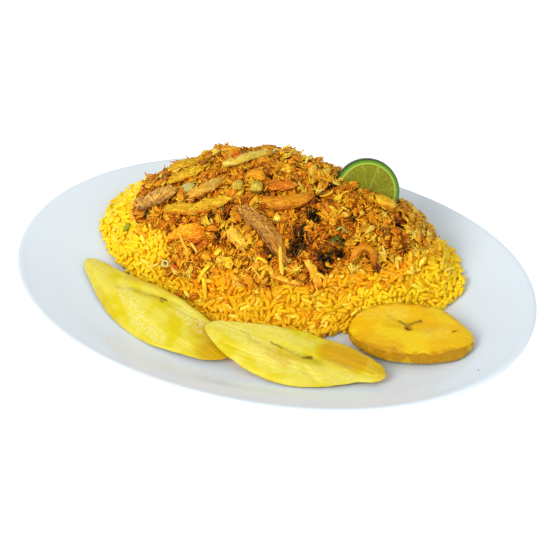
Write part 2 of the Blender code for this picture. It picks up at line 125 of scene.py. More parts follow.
def cells(points: Rows, size: float, seed: float) -> Rows:
    """Rounded cells of this size: near 1 in the middle of a cell and 0 where two cells meet."""
    near = [noise.voronoi(place)[0] for place in shifted(points, size, seed)]
    return np.array([min(apart[1] - apart[0], 1.0) for apart in near])


def unit(vectors: Rows) -> Rows:
    """Scales each row to length 1."""
    return vectors / np.maximum(np.linalg.norm(vectors, axis=-1, keepdims=True), 1e-12)


def along(outward: Rows, distance: Rows) -> Rows:
    """A step of its own length for each row of directions."""
    return outward * distance[:, None]


def blend(first: Rows, second: Rows, share: Rows) -> Rows:
    """Goes from the first colour to the second, by a share of its own for each row."""
    return first + (second - first) * share[:, None]


# ---- modelling moves


def pick_only(piece: Piece) -> None:
    """Leaves one piece alone selected and active.

    Args:
        piece: The piece.
    """
    bpy.ops.object.select_all(action="DESELECT")
    piece.select_set(True)
    bpy.context.view_layer.objects.active = piece


@contextmanager
def editing(piece: Piece) -> Iterator[None]:
    """Opens a piece in edit mode with all of it selected, and closes it afterwards.

    Args:
        piece: The piece.

    Yields:
        Nothing.
    """
    pick_only(piece)
    bpy.ops.object.mode_set(mode="EDIT")
    bpy.ops.mesh.select_all(action="SELECT")
    yield
    bpy.ops.object.mode_set(mode="OBJECT")


def add(kind: str, name: str, **settings: object) -> Piece:
    """Adds a primitive at its size and place, and names it.

    Args:
        kind: The primitive's kind, such as circle.
        name: The piece's name.
        **settings: The primitive's settings.

    Returns:
        The piece, unturned and at the origin.
    """
    bpy.ops.object.select_all(action="DESELECT")
    getattr(bpy.ops.mesh, f"primitive_{kind}_add")(**settings)
    piece = bpy.context.view_layer.objects.active
    piece.name = piece.data.name = name
    bpy.ops.object.transform_apply(location=True, rotation=True, scale=True)
    return piece


def linked(name: str, data: bpy.types.ID) -> Piece:
    """Puts a mesh, a lamp or a camera in the scene.

    Args:
        name: The new object's name.
        data: What it shows.

    Returns:
        The new object.
    """
    made = bpy.data.objects.new(name, data)
    bpy.context.scene.collection.objects.link(made)
    return made


def rows_of(piece: Piece, what: str = "co") -> Rows:
    """Reads the places of a piece's points, or their outward directions.

    Args:
        piece: The piece.
        what: Either co or normal.

    Returns:
        One row for each point.
    """
    found = np.empty(len(piece.data.vertices) * 3)
    piece.data.vertices.foreach_get(what, found)
    return found.reshape(-1, 3)


def triangles_of(mesh: bpy.types.Mesh) -> Rows:
    """A mesh's triangles, as one row of three point numbers each.

    Args:
        mesh: The mesh.

    Returns:
        The rows.
    """
    mesh.calc_loop_triangles()
    found = np.empty(len(mesh.loop_triangles) * 3, np.int32)
    mesh.loop_triangles.foreach_get("vertices", found)
    return found.reshape(-1, 3)


def place_points(piece: Piece, places: Rows) -> None:
    """Moves a piece's points to new places, one row each."""
    piece.data.vertices.foreach_set("co", places.astype(np.float32).ravel())
    piece.data.update()


def write_numbers(piece: Piece, **values: Rows) -> None:
    """Stores numbers or rows of three at a piece's points, for the materials to read.

    Args:
        piece: The piece.
        **values: The attributes' values by name.
    """
    for name, rows in values.items():
        kind, key = ("FLOAT", "value") if rows.ndim == 1 else ("FLOAT_VECTOR", "vector")
        made = piece.data.attributes.new(name, kind, "POINT")
        made.data.foreach_set(key, rows.astype(np.float32).ravel())


def apply_modifier(piece: Piece, kind: str, **settings: object) -> None:
    """Adds one modifier and applies it.

    Args:
        piece: The piece.
        kind: The modifier's type.
        **settings: The modifier's settings.
    """
    pick_only(piece)
    made = piece.modifiers.new(kind.lower(), kind)
    for key, value in settings.items():
        setattr(made, key, value)
    bpy.ops.object.modifier_apply(modifier=made.name)


def copy_of_node(node: str, name: str) -> Piece:
    """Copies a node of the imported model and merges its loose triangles.

    Args:
        node: The node's name.
        name: The copy's name.

    Returns:
        The copy.
    """
    made = linked(name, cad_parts[node].data.copy())
    made.data.name = name
    made.data.materials.clear()
    with editing(made):
        bpy.ops.mesh.remove_doubles(threshold=0.02 * MM)
        bpy.ops.mesh.tris_convert_to_quads()
    return made


def draw_out(name: str, sides: int, stations: Stations) -> Piece:
    """Draws a ring of points out into a closed rod along X.

    Args:
        name: The rod's name.
        sides: How many sides its section has.
        stations: Place along X, half width and half thickness of each ring.

    Returns:
        The rod.
    """
    start, wide, thick = stations[0]
    rod = add("circle", name, vertices=sides, radius=1.0, rotation=(0.0, math.pi / 2, 0.0))
    with editing(rod):
        bpy.ops.transform.resize(value=(1.0, wide, thick), center_override=(0.0, 0.0, 0.0))
        bpy.ops.transform.translate(value=(start, 0.0, 0.0))
        bpy.ops.mesh.edge_face_add()
        for place, next_wide, next_thick in stations[1:]:
            bpy.ops.mesh.extrude_region_move(TRANSFORM_OT_translate={"value": (place - start, 0.0, 0.0)})
            growth = (1.0, next_wide / wide, next_thick / thick)
            bpy.ops.transform.resize(value=growth, center_override=(place, 0.0, 0.0))
            start, wide, thick = place, next_wide, next_thick
        bpy.ops.mesh.select_all(action="SELECT")
        bpy.ops.mesh.normals_make_consistent(inside=False)
    return rod


def turn_out(name: str, steps: int, section: Sequence[tuple[float, float]]) -> Piece:
    """Draws a ring out along a section and closes both middles.

    Args:
        name: The piece's name.
        steps: How many points a ring has.
        section: Radius and height of each ring, from the middle of the top to the middle of the bottom.

    Returns:
        The round piece, about the Z axis.
    """
    radius, high = section[0]
    piece = add("circle", name, vertices=steps, radius=radius, location=(0.0, 0.0, high), fill_type="TRIFAN")
    with editing(piece):
        bpy.ops.mesh.select_all(action="DESELECT")
        bpy.ops.mesh.select_non_manifold()
        for next_radius, next_high in section[1:]:
            bpy.ops.mesh.extrude_edges_move(TRANSFORM_OT_translate={"value": (0.0, 0.0, next_high - high)})
            growth = next_radius / radius
            bpy.ops.transform.resize(value=(growth, growth, 1.0), center_override=(0.0, 0.0, next_high))
            radius, high = next_radius, next_high
        bpy.ops.mesh.edge_face_add()
        bpy.ops.mesh.poke()
        bpy.ops.mesh.select_all(action="SELECT")
        bpy.ops.mesh.normals_make_consistent(inside=False)
    return piece


def lay_down(piece: Piece, material: Material, slot: Slot, replaces: str = "") -> Piece:
    """Gives a finished piece its material and the body that it rides on.

    Args:
        piece: The finished piece.
        material: Its finish.
        slot: The record's slot that the finish stands for. Not used.
        replaces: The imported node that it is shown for.

    Returns:
        The piece.
    """
    pick_only(piece)
    bpy.ops.object.shade_smooth()
    piece.data.materials.clear()
    piece.data.materials.append(material)
    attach(piece, "root")
    if replaces:
        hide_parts(replaces)
    LOG.info("%s: %d faces", piece.name, len(piece.data.polygons))
    return piece


# ---- surfaces to lay things on


class Ground:
    """A surface that other things are laid on."""

    def __init__(self, pieces: Iterable[Piece]) -> None:
        """Reads the surfaces.

        Args:
            pieces: The pieces whose surfaces count.
        """
        pieces = list(pieces)
        starts = np.cumsum([0, *(len(piece.data.vertices) for piece in pieces)])
        self.points = np.vstack([rows_of(piece) for piece in pieces])
        self.normals = np.vstack([rows_of(piece, "normal") for piece in pieces])
        self.faces = np.vstack([triangles_of(piece.data) + start for piece, start in zip(pieces, starts)])
        self.tree = BVHTree.FromPolygons(self.points.tolist(), self.faces.tolist())

    def scatter(self, count: int, dice: Dice) -> tuple[Rows, Rows]:
        """Picks places evenly over the surface.

        Args:
            count: How many.
            dice: Where chance comes from.

        Returns:
            The places and the outward directions there.
        """
        first, second, third = (self.points[self.faces[:, n]] for n in range(3))
        areas = np.linalg.norm(np.cross(second - first, third - first), axis=1)
        corners = self.faces[dice.choice(len(areas), count, p=areas / areas.sum())]
        share = dice.random((count, 2))
        over = share.sum(axis=1) > 1.0
        share[over] = 1.0 - share[over]
        weights = np.stack([1.0 - share.sum(axis=1), share[:, 0], share[:, 1]], axis=1)[:, :, None]
        places = (self.points[corners] * weights).sum(axis=1)
        return places, unit((self.normals[corners] * weights).sum(axis=1))

    def distance(self, places: Rows) -> Rows:
        """How far each place is from the surface: below 0 inside it.

        Args:
            places: One row each.

        Returns:
            One distance for each.
        """
        found = []
        for place in map(Vector, places):
            near, normal, _, far = self.tree.find_nearest(place)
            found.append(-far if (place - near).dot(normal) < -0.5 * far else far)
        return np.array(found)

    def covers(self, places: Rows) -> Rows:
        """Whether the surface lies above each place."""
        up = Vector((0.0, 0.0, 1.0))
        return np.array([self.tree.ray_cast(Vector(place), up)[0] is not None for place in places])

    def drop(self, x: float, y: float) -> tuple[Vector, Vector]:
        """Where something let go over a point in millimetres comes down, and the outward direction there."""
        high = 0.3
        return self.tree.ray_cast(Vector((x * MM, y * MM, high)), Vector((0.0, 0.0, -1.0)))[:2]


@dataclass
class Pile:
    """Remembers what has been laid down, as balls, so that the next things rest on it."""

    batch: int = 200
    balls: list[tuple[float, float, float]] = field(default_factory=list)
    radii: list[float] = field(default_factory=list)

    def settle(self, balls: Rows, radii: Rows, outward: Rows, closeness: float, most: float) -> Rows:
        """Raises each thing until it rests on those under it, and leaves out what would lie too high.

        Args:
            balls: The balls that stand for each thing: one thing a row, then one ball a row.
            radii: Radius of each thing's balls.
            outward: Direction in which each is raised.
            closeness: 1 keeps balls apart, and less lets them press into each other.
            most: The most that a thing may be raised.

        Returns:
            How far each is raised, or -1 where it is left out.
        """
        rises = np.full(len(balls), -1.0)
        for start in range(0, len(balls), self.batch):
            tree = KDTree(max(len(self.balls), 1))
            for number, ball in enumerate(self.balls):
                tree.insert(ball, number)
            tree.balance()
            known = np.array(self.radii)
            reach = closeness * (float(radii.max()) + (known.max() if len(known) else 0.0)) + most
            for thing in range(start, min(start + self.batch, len(balls))):
                rise = 0.0
                for ball in balls[thing] if len(known) else ():
                    near = tree.find_range(ball, reach)
                    if near:
                        apart = closeness * (radii[thing] + known[[n[1] for n in near]])
                        gaps = np.array([tuple(n[0]) for n in near]) - ball
                        rise = max(rise, self.climb(gaps, apart, outward[thing]))
                if rise <= most:
                    rises[thing] = rise
                    raised = balls[thing] + outward[thing] * rise
                    self.balls.extend(map(tuple, raised))
                    self.radii.extend([radii[thing]] * len(raised))
        return rises

    @staticmethod
    def climb(gaps: Rows, apart: Rows, outward: Rows) -> float:
        """How far one ball has to go up to clear its neighbours.

        Args:
            gaps: From the ball to each neighbour.
            apart: How far it keeps from each.
            outward: Direction in which it is raised.

        Returns:
            The rise, 0 or more.
        """
        high = gaps @ outward
        beside = np.maximum((gaps * gaps).sum(axis=1) - high * high, 0.0)
        hit = beside < apart * apart
        return float((high[hit] + np.sqrt(apart[hit] ** 2 - beside[hit])).max()) if hit.any() else 0.0


class Spine:
    """How a long piece runs: its middle line, and its side, top, width and height along it."""

    def __init__(self, points: Rows, stations: int = 13) -> None:
        """Measures a long piece.

        Args:
            points: The piece's points.
            stations: At how many places along it the piece is measured.
        """
        self.middle = points.mean(axis=0)
        axis = np.linalg.eigh(np.cov((points - self.middle).T))[1][:, -1]
        self.axis = axis * np.sign(axis[0])
        run = (points - self.middle) @ self.axis
        self.low, self.length = run.min(), run.max() - run.min()
        share = (run - self.low) / self.length
        level = unit(np.cross((0.0, 0.0, 1.0), self.axis))
        self.stops = np.linspace(0.0, 1.0, stations)
        rows = []
        for stop in self.stops:
            near = points[np.argsort(np.abs(share - stop))[: max(len(points) // (2 * stations), 12)]]
            reach = near @ level
            side = near[reach.argmax()] - near[reach.argmin()]
            side = unit(side - (side @ self.axis) * self.axis)
            top = np.cross(self.axis, side)
            centre = near.mean(axis=0)
            halves = [np.ptp((near - centre) @ way) / 2 for way in (side, top)]
            rows.append([*centre, *side, *top, *halves])
        self.rows = np.array(rows)
        self.rows[:, 9:] = np.maximum(self.rows[:, 9:], 0.3 * self.rows[:, 9:].max(axis=0))

    def local(self, points: Rows) -> tuple[Rows, Rows, Rows]:
        """Places as the piece sees them.

        Args:
            points: The places.

        Returns:
            The rows at each place (middle, side, top, half width, half height), then the share along
            the piece, then one row of offsets for each place: across and upwards, 1 at the edge.
        """
        share = ((points - self.middle) @ self.axis - self.low) / self.length
        rows = np.stack([np.interp(share, self.stops, column) for column in self.rows.T], axis=1)
        away = points - rows[:, :3]
        offset = [(away * rows[:, n : n + 3]).sum(axis=1) / rows[:, 8 + n // 3] for n in (3, 6)]
        return rows, share, np.stack(offset, axis=1)


# ---- copies of small shapes


@dataclass(frozen=True)
class Shape:
    """A small shape about its own middle: -0.5 to 0.5 along X, and -1 to 1 across."""

    points: Rows
    faces: Rows
    # Colour factor for each point: 1 for even colour, lower where a shape paints shade into its furrows.
    shade: Rows

    @classmethod
    def from_piece(cls, piece: Piece) -> "Shape":
        """Keeps a modelled piece as a shape, in triangles, and removes the piece.

        Args:
            piece: The modelled piece.

        Returns:
            The shape, with even shading.
        """
        mesh, points = piece.data, rows_of(piece)
        made = cls(points, triangles_of(mesh), np.ones((len(points), 3)))
        bpy.data.objects.remove(piece)
        bpy.data.meshes.remove(mesh)
        return made


def rod_shape(sides: int, *stations: tuple[float, float, float]) -> Shape:
    """Models one rod with so many sides, through rings of place, half width and half thickness."""
    return Shape.from_piece(draw_out("rod", sides, stations))


def thread_shape(sides: int, tip: float, shoulder: float, end: float, place: float) -> Shape:
    """Models a thin thread: half widths at its start, shoulders and end, and where the shoulders are."""
    widths = ((-0.5, tip), (-place, shoulder), (0.0, 1.0), (place, shoulder), (0.5, end))
    return rod_shape(sides, *((at, wide, wide) for at, wide in widths))


def lump_shape(fineness: int) -> Shape:
    """Models one lump from a ball of triangles, squeezed to half its length.

    Args:
        fineness: 1 for 20 faces, 2 for 80.

    Returns:
        The shape.
    """
    lump = add("ico_sphere", "lump", subdivisions=fineness, radius=1.0)
    with editing(lump):
        bpy.ops.transform.resize(value=(0.5, 1.0, 1.0), center_override=(0.0, 0.0, 0.0))
    return Shape.from_piece(lump)


def bundle_shape(strand: Shape, count: int, dice: Dice) -> Shape:
    """Lays strands side by side and splays them at one end, like flaked crab.

    Args:
        strand: One strand.
        count: How many.
        dice: Where chance comes from.

    Returns:
        The bundle as one shape.
    """
    points: list[Rows] = []
    for place in np.linspace(-1.0, 1.0, count):
        own = strand.points * [dice.uniform(0.7, 1.0), 0.42, 0.42]
        splay = (own[:, 0] + 0.5) ** 2
        own[:, 0] += dice.uniform(-0.12, 0.12)
        own[:, 1] += place * (0.55 + 0.6 * splay)
        own[:, 2] += dice.uniform(-0.35, 0.35) + dice.normal(0.0, 0.5) * splay
        points.append(own)
    faces = [strand.faces + number * len(strand.points) for number in range(count)]
    return Shape(np.vstack(points), np.vstack(faces), np.tile(strand.shade, (count, 1)))


def flake_shape(dice: Dice, sides: int = 12, rings: int = 9) -> Shape:
    """Models one torn flake of crab: ridges along its length, ragged ends, and painted shade that darkens the
    furrows between the ridges.

    Args:
        dice: Where chance comes from.
        sides: How many sides its section has.
        rings: How many rings it has from end to end.

    Returns:
        The flake.
    """
    lying = (0.0, math.pi / 2, 0.0)
    ball = add("uv_sphere", "flake", segments=sides, ring_count=rings, radius=1.0, rotation=lying)
    bare = Shape.from_piece(ball)
    points = bare.points.copy()
    run = points[:, 0] * 0.5
    turn = np.arctan2(points[:, 2], points[:, 1])
    ridges = 0.5 + 0.5 * np.cos(dice.integers(5, 8) * turn + dice.uniform(0, math.tau) + 2.0 * run)
    wrapped = np.stack([run * 3.0, np.cos(turn), np.sin(turn)], axis=1)
    swell = 1.0 + 0.22 * lumps(wrapped, 0.6, dice.uniform(0, 40))
    across = np.maximum(np.hypot(points[:, 1], points[:, 2]), 0.2)
    full = np.maximum(1.0 - (2.0 * run) ** 4, 0.0) ** 0.5 / across
    points[:, 1:] *= ((0.72 + 0.3 * ridges) * swell * np.minimum(full, 1.6))[:, None]
    fray = smooth_step(np.abs(run), 0.25, 0.5)
    points[:, 0] = run * (1.0 + fray * dice.normal(0.0, 0.13, len(points)))
    points[:, 1:] += dice.normal(0.0, 0.09, (len(points), 2)) * (0.4 + fray)[:, None]
    # Painted shade: points low between the ridges get a darker, redder colour, and frayed ends darken a
    # little at random.
    light = (0.45 + 0.55 * ridges) * (1.0 - 0.25 * fray * dice.random(len(points)))
    furrow_shade = np.array((0.62, 0.42, 0.3))
    return Shape(points, bare.faces, furrow_shade + (1.0 - furrow_shade) * light[:, None])


def turned_axes(outward: Rows, turns: Rows, tilts: Rows) -> Rows:
    """Axes for copies that lie on a surface.

    Args:
        outward: Outward direction under each copy.
        turns: Heading of each copy along the surface.
        tilts: How far each copy's length points away from the surface.

    Returns:
        For each copy three rows: its length, its side and its top.
    """
    guide = np.where(np.abs(outward[:, 2:3]) < 0.9, [[0.0, 0.0, 1.0]], [[1.0, 0.0, 0.0]])
    first = unit(np.cross(outward, guide))
    heading = along(first, np.cos(turns)) + along(np.cross(outward, first), np.sin(turns))
    length = along(heading, np.cos(tilts)) + along(outward, np.sin(tilts))
    side = np.cross(outward, heading)
    return np.stack([length, side, np.cross(length, side)], axis=1)


def balls_along(places: Rows, axes: Rows, lengths: Rows, shares: Sequence[float]) -> Rows:
    """Middles of the balls that stand for each copy, at shares of its length."""
    steps = np.array(shares)[None, :, None] * lengths[:, None, None]
    return places[:, None, :] + axes[:, None, 0, :] * steps


@dataclass
class Batch:
    """Many copies of small shapes, joined in one mesh, each with its own tint."""

    dice: Dice
    points: list[Rows] = field(default_factory=list)
    faces: list[Rows] = field(default_factory=list)
    tints: list[Rows] = field(default_factory=list)
    follows: list[Rows] = field(default_factory=list)
    count: int = 0

    def add(
        self, shape: Shape, places: Rows, axes: Rows, sizes: Rows, tints: Rows, bend: float, rough: float
    ) -> None:
        """Adds copies of one shape.

        Args:
            shape: The shape.
            places: Middle of each copy.
            axes: Length, side and top of each copy.
            sizes: Scale of each copy along those three.
            tints: Colour of each copy.
            bend: How strongly copies are bowed, in half widths.
            rough: How far single points are pushed about, in half widths.
        """
        total = len(places)
        own = np.repeat(shape.points[None], total, axis=0)
        if bend:
            bow = self.dice.normal(0.0, bend, (total, 1, 2))
            own[:, :, 1:] += bow * (own[:, :, :1] ** 2)
        own += self.dice.normal(0.0, rough, own.shape) * np.array([0.15, 1.0, 1.0])
        own = own * sizes[:, None, :]
        moved = np.einsum("nij,njk->nik", own, axes) + places[:, None, :]
        shifts = self.count + len(shape.points) * np.arange(total)
        faces = (shape.faces[None] + shifts[:, None, None]).reshape(-1, 3)
        apart = self.dice.uniform(-0.4, 0.4, (total, 1, 3))
        self.keep(moved, faces, tints[:, None, :] * shape.shade[None], own + apart)

    def append(self, shape: Shape, points: Rows, tint: Colour) -> None:
        """Adds one copy of a shape whose points have their places already, in one colour."""
        self.keep(points, shape.faces + self.count, np.array(tint) * shape.shade, points)

    def keep(self, points: Rows, faces: Rows, tints: Rows, follows: Rows) -> None:
        """Keeps what is added.

        Args:
            points: Its points.
            faces: Its faces.
            tints: A colour for each point.
            follows: Each point's place on the food itself.
        """
        kept = (self.points, points), (self.faces, faces), (self.tints, tints), (self.follows, follows)
        for rows, new in kept:
            rows.append(new.reshape(-1, 3))
        self.count += len(self.points[-1])

    def join(self, name: str) -> Piece:
        """Makes the joined piece.

        Args:
            name: The piece's name.

        Returns:
            The piece.
        """
        points, faces = np.vstack(self.points), np.vstack(self.faces)
        mesh = bpy.data.meshes.new(name)
        mesh.vertices.add(len(points))
        mesh.vertices.foreach_set("co", points.astype(np.float32).ravel())
        mesh.loops.add(faces.size)
        mesh.loops.foreach_set("vertex_index", faces.astype(np.int32).ravel())
        mesh.polygons.add(len(faces))
        mesh.polygons.foreach_set("loop_start", np.arange(0, faces.size, 3, dtype=np.int32))
        mesh.update(calc_edges=True)
        mesh.validate()
        piece = linked(name, mesh)
        write_numbers(piece, tint=np.vstack(self.tints), follow=np.vstack(self.follows))
        return piece


# ---- materials


class Recipe:
    """One Principled material, put together node by node."""

    def __init__(self, name: str) -> None:
        """Starts a material.

        Args:
            name: The material's name.
        """
        self.material = bpy.data.materials.new(name)
        self.material.use_nodes = True
        self.tree = self.material.node_tree
        self.shader = self.tree.nodes["Principled BSDF"]
        self.object_places = self.node("TexCoord", "Object", {})

    def node(self, kind: str, output: str | int, inputs: Inputs, **settings: object) -> Socket:
        """Adds a node and fills its inputs.

        Args:
            kind: The node's type, without the ShaderNode in front.
            output: Which output is wanted.
            inputs: What goes into its sockets.
            **settings: The node's own settings.

        Returns:
            The output.
        """
        made = self.tree.nodes.new(f"ShaderNode{kind}")
        for key, value in settings.items():
            setattr(made, key, value)
        for key, value in inputs.items():
            self.put(made.inputs[key], value)
        return made.outputs[output]

    def put(self, socket: Socket, value: object) -> None:
        """Links a value to a socket, or sets the socket's own value.

        Args:
            socket: The socket.
            value: Another node's output, a number, a vector or a colour.
        """
        if isinstance(value, Socket):
            self.tree.links.new(value, socket)
        elif socket.type == "RGBA":
            socket.default_value = (*light_of(value), 1.0)
        else:
            socket.default_value = value

    def set(self, **values: object) -> None:
        """Sets or links the shader's own sockets, named with _ for each space."""
        for name, value in values.items():
            self.put(self.shader.inputs[name.replace("_", " ")], value)

    def attribute(self, name: str, output: str = "Fac") -> Socket:
        """A number, a vector or a colour stored on the piece: output is Fac, Vector or Color."""
        return self.node("Attribute", output, {}, attribute_name=name)

    def noise(
        self, size: float, detail: float = 3.0, warp: float = 0.0, places: Socket | None = None
    ) -> Socket:
        """Fractal noise, about 0 to 1.

        Args:
            size: Size of its lumps.
            detail: How many finer layers it has.
            warp: How far it is twisted.
            places: Where it is read, if not at the piece's own places.

        Returns:
            The noise.
        """
        where = places or self.object_places
        inputs = {"Vector": where, "Scale": 1.0 / size, "Detail": detail, "Distortion": warp}
        return self.node("TexNoise", "Fac", inputs)

    def fibres(self, scale: Sequence[float], detail: float, warp: float) -> Socket:
        """Noise drawn out along the piece, with a scale for each axis."""
        follow = {"Vector": self.attribute("follow", "Vector"), "Scale": scale}
        return self.noise(1.0, detail, warp, self.node("Mapping", "Vector", follow))

    def span(self, value: Socket, low: float, high: float, start: float = 0.0, end: float = 1.0) -> Socket:
        """Stretches the part of a value between low and high to start and end, and clamps the rest."""
        inputs = {"Value": value, "From Min": low, "From Max": high, "To Min": start, "To Max": end}
        return self.node("MapRange", "Result", inputs, interpolation_type="SMOOTHSTEP")

    def mix(self, share: object, first: object, second: object, way: str = "MIX") -> Socket:
        """Mixes two colours: share is how much there is of the second."""
        return self.node("Mix", 2, {0: share, 6: first, 7: second}, data_type="RGBA", blend_type=way)

    def layers(self, colour: object, *layers: tuple[object, object]) -> Socket:
        """Lays colours over one another.

        Args:
            colour: The lowest.
            *layers: The share of each of the others, and its colour.

        Returns:
            What shows.
        """
        for share, over in layers:
            colour = self.mix(share, colour, over)
        return colour

    def maths(self, operation: str, first: object, second: object) -> Socket:
        """One sum of two numbers."""
        return self.node("Math", 0, {0: first, 1: second}, operation=operation)

    def bump(self, *reliefs: tuple[Socket, float]) -> Socket:
        """Fine relief.

        Args:
            *reliefs: Heights with their depths, each laid over the one before.

        Returns:
            The surface's direction.
        """
        normal = None
        for height, depth in reliefs:
            before = {} if normal is None else {"Normal": normal}
            normal = self.node("Bump", "Normal", {"Distance": depth, "Height": height, **before})
        return normal

    def shine(self, level: float, tint: Colour = (1.0, 0.8, 0.42)) -> None:
        """Sets how strongly the surface mirrors light, where 0.5 is plain, and in which colour."""
        self.set(Specular_IOR_Level=level, Specular_Tint=tint)

    def flesh(self, weight: float, radius: Colour, scale: float) -> None:
        """Lets light in: its share, how far red, green and blue go, and what a radius of 1 stands for."""
        self.set(Subsurface_Weight=weight, Subsurface_Radius=radius, Subsurface_Scale=scale)


@dataclass(frozen=True)
class GlazeFinish:
    """White glaze with a soft blue cast and a clear shine."""

    colour: Colour = (0.685, 0.76, 0.82)
    cooler: float = 0.975
    roughness: float = 0.12

    def material(self) -> Material:
        """Makes the material.

        Returns:
            The material.
        """
        made = Recipe("white_glaze")
        cool = tuple(self.cooler * part for part in self.colour)
        made.set(
            Base_Color=made.mix(made.span(made.noise(0.08, 2.0), 0.3, 0.7), self.colour, cool),
            Roughness=made.span(made.noise(0.03), 0.3, 0.7, self.roughness, self.roughness + 0.05),
            Coat_Weight=0.35,
            Coat_Roughness=0.05,
            Normal=made.bump((made.noise(0.018, 1.0), 0.04 * MM)),
        )
        return made.material


@dataclass(frozen=True)
class TintedFinish:
    """Moist food whose colour comes copy by copy, broken up by fine noise."""

    name: str
    roughness: float = 0.38
    speck: float = 0.9 * MM
    dark: float = 0.72
    light: float = 1.22
    depth: float = 0.12 * MM
    shine: float = 0.5
    inner: float = 0.12
    inner_radius: Colour = (1.0, 0.7, 0.3)
    inner_scale: float = 1.2 * MM
    streak: float = 0.0
    # With streak above 0: painted shade for the furrows of the fibre relief, then painted highlight for its
    # ridges.
    furrow_shade: Colour = (0.66, 0.44, 0.26)
    ridge_highlight: Colour = (0.95, 0.62, 0.06)

    def material(self) -> Material:
        """Makes the material.

        Returns:
            The material.
        """
        made = Recipe(self.name)
        tint = made.attribute("tint", "Color")
        reliefs = [(made.noise(0.5 * self.speck, 2.0), self.depth)]
        if self.streak:
            # Painted shade darkens the low parts of the fibre relief, and painted highlight lightens its
            # ridges.
            fibre = made.fibres((170.0, 1150.0, 1150.0), 3.0, 0.5)
            tint = made.mix(made.span(fibre, 0.34, 0.5, self.streak, 0.0), tint, self.furrow_shade, "MULTIPLY")
            tint = made.mix(made.span(fibre, 0.54, 0.72, 0.0, self.streak), tint, self.ridge_highlight)
            reliefs.insert(0, (fibre, 0.35 * MM))
        patches = made.span(made.noise(self.speck), 0.3, 0.7, self.dark, self.light)
        scaled = made.node("VectorMath", "Vector", {0: tint, "Scale": patches}, operation="SCALE")
        made.set(Base_Color=scaled, Roughness=self.roughness, Normal=made.bump(*reliefs))
        made.shine(self.shine)
        made.flesh(self.inner, self.inner_radius, self.inner_scale)
        return made.material


# ---- plate


@dataclass
class OvalPlate:
    """The oval plate: an even floor that rises to a rolled lip, on a foot ring."""

    squareness: float = 2.07
    floor: float = 5.6 * MM
    flat_share: float = 0.50
    climb: float = 1.6
    wall: float = 4.2 * MM
    lip: float = 2.4 * MM
    lip_start: float = 78.0
    lip_sweep: float = 168.0
    foot_inner: float = 84.0 * MM
    foot_outer: float = 94.0 * MM
    foot_recess: float = 1.4 * MM
    top_rings: int = 30
    lip_rings: int = 12
    under_rings: int = 8
    steps: int = 224
    finish: GlazeFinish = GlazeFinish()
    corner: Vector = field(default_factory=lambda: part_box("plate")[1])

    def oval_radius(self, turn: float) -> float:
        """Distance from the middle to the edge in one direction."""
        ways = (math.cos(turn) / self.corner.x, math.sin(turn) / self.corner.y)
        return sum(abs(way) ** self.squareness for way in ways) ** (-1 / self.squareness)

    def rise(self, share: float) -> float:
        """Height of the upper surface.

        Args:
            share: How far out, 0 in the middle and 1 at the edge.

        Returns:
            The height.
        """
        part = max(share - self.flat_share, 0.0) / (1.0 - self.flat_share)
        climbed = part * part * (self.climb - (self.climb - 1.0) * part)
        return self.floor + (self.corner.z - self.floor) * climbed

    def section(self) -> list[tuple[float, float]]:
        """The plate's section: from the middle of its top, round the lip, to the middle of its foot.

        Returns:
            Radius and height of each ring.
        """
        edge = self.corner.x
        last = 1.0 - 2.0 * self.lip / edge
        shares = [last * n / self.top_rings for n in range(2, self.top_rings + 1)]
        points = [(0.02 * edge, self.floor), *((edge * share, self.rise(share)) for share in shares)]
        for step in range(self.lip_rings + 1):
            turn = math.radians(self.lip_start - self.lip_sweep * step / self.lip_rings)
            out = edge + self.lip * (math.cos(turn) - 1.0)
            points.append((out, self.corner.z + self.lip * (math.sin(turn) - 1.0)))
        for step in range(self.under_rings + 1):
            share = 0.95 - 0.35 * step / self.under_rings
            points.append((share * edge, max(self.rise(share) - self.wall, 1.2 * MM)))
        return points + [
            (self.foot_outer + 1.0 * MM, 0.9 * MM),
            (self.foot_outer, 0.2 * MM),
            (self.foot_outer - 0.8 * MM, 0.0),
            (self.foot_inner + 0.8 * MM, 0.0),
            (self.foot_inner, 0.2 * MM),
            (self.foot_inner - 1.2 * MM, self.foot_recess),
            (0.04 * edge, self.foot_recess),
        ]

    def into_oval(self, x: float, y: float, z: float) -> tuple[float, float, float]:
        """Presses one point of the round plate into the oval, keeping the lip's own width.

        Args:
            x: Place along the plate.
            y: Place across the plate.
            z: Height.

        Returns:
            The point on the oval plate.
        """
        radius, turn = math.hypot(x, y), math.atan2(y, x)
        inwards = self.corner.x - radius
        kept = self.oval_radius(turn) - inwards
        scaled = radius * self.oval_radius(turn) / self.corner.x
        placed = kept + (scaled - kept) * min(inwards / (12 * self.lip), 1.0)
        return placed * math.cos(turn), placed * math.sin(turn), z

    def build(self) -> Piece:
        """Draws a ring out along the section and presses the round plate oval.

        Returns:
            The plate.
        """
        plate = turn_out("oval_plate", self.steps, self.section())
        place_points(plate, np.array([self.into_oval(*point) for point in rows_of(plate)]))
        return plate

    def dress(self, plate: Piece) -> Piece:
        """Glazes the plate."""
        return lay_down(plate, self.finish.material(), Slot.PLATE, "plate")


# ---- the two heaps


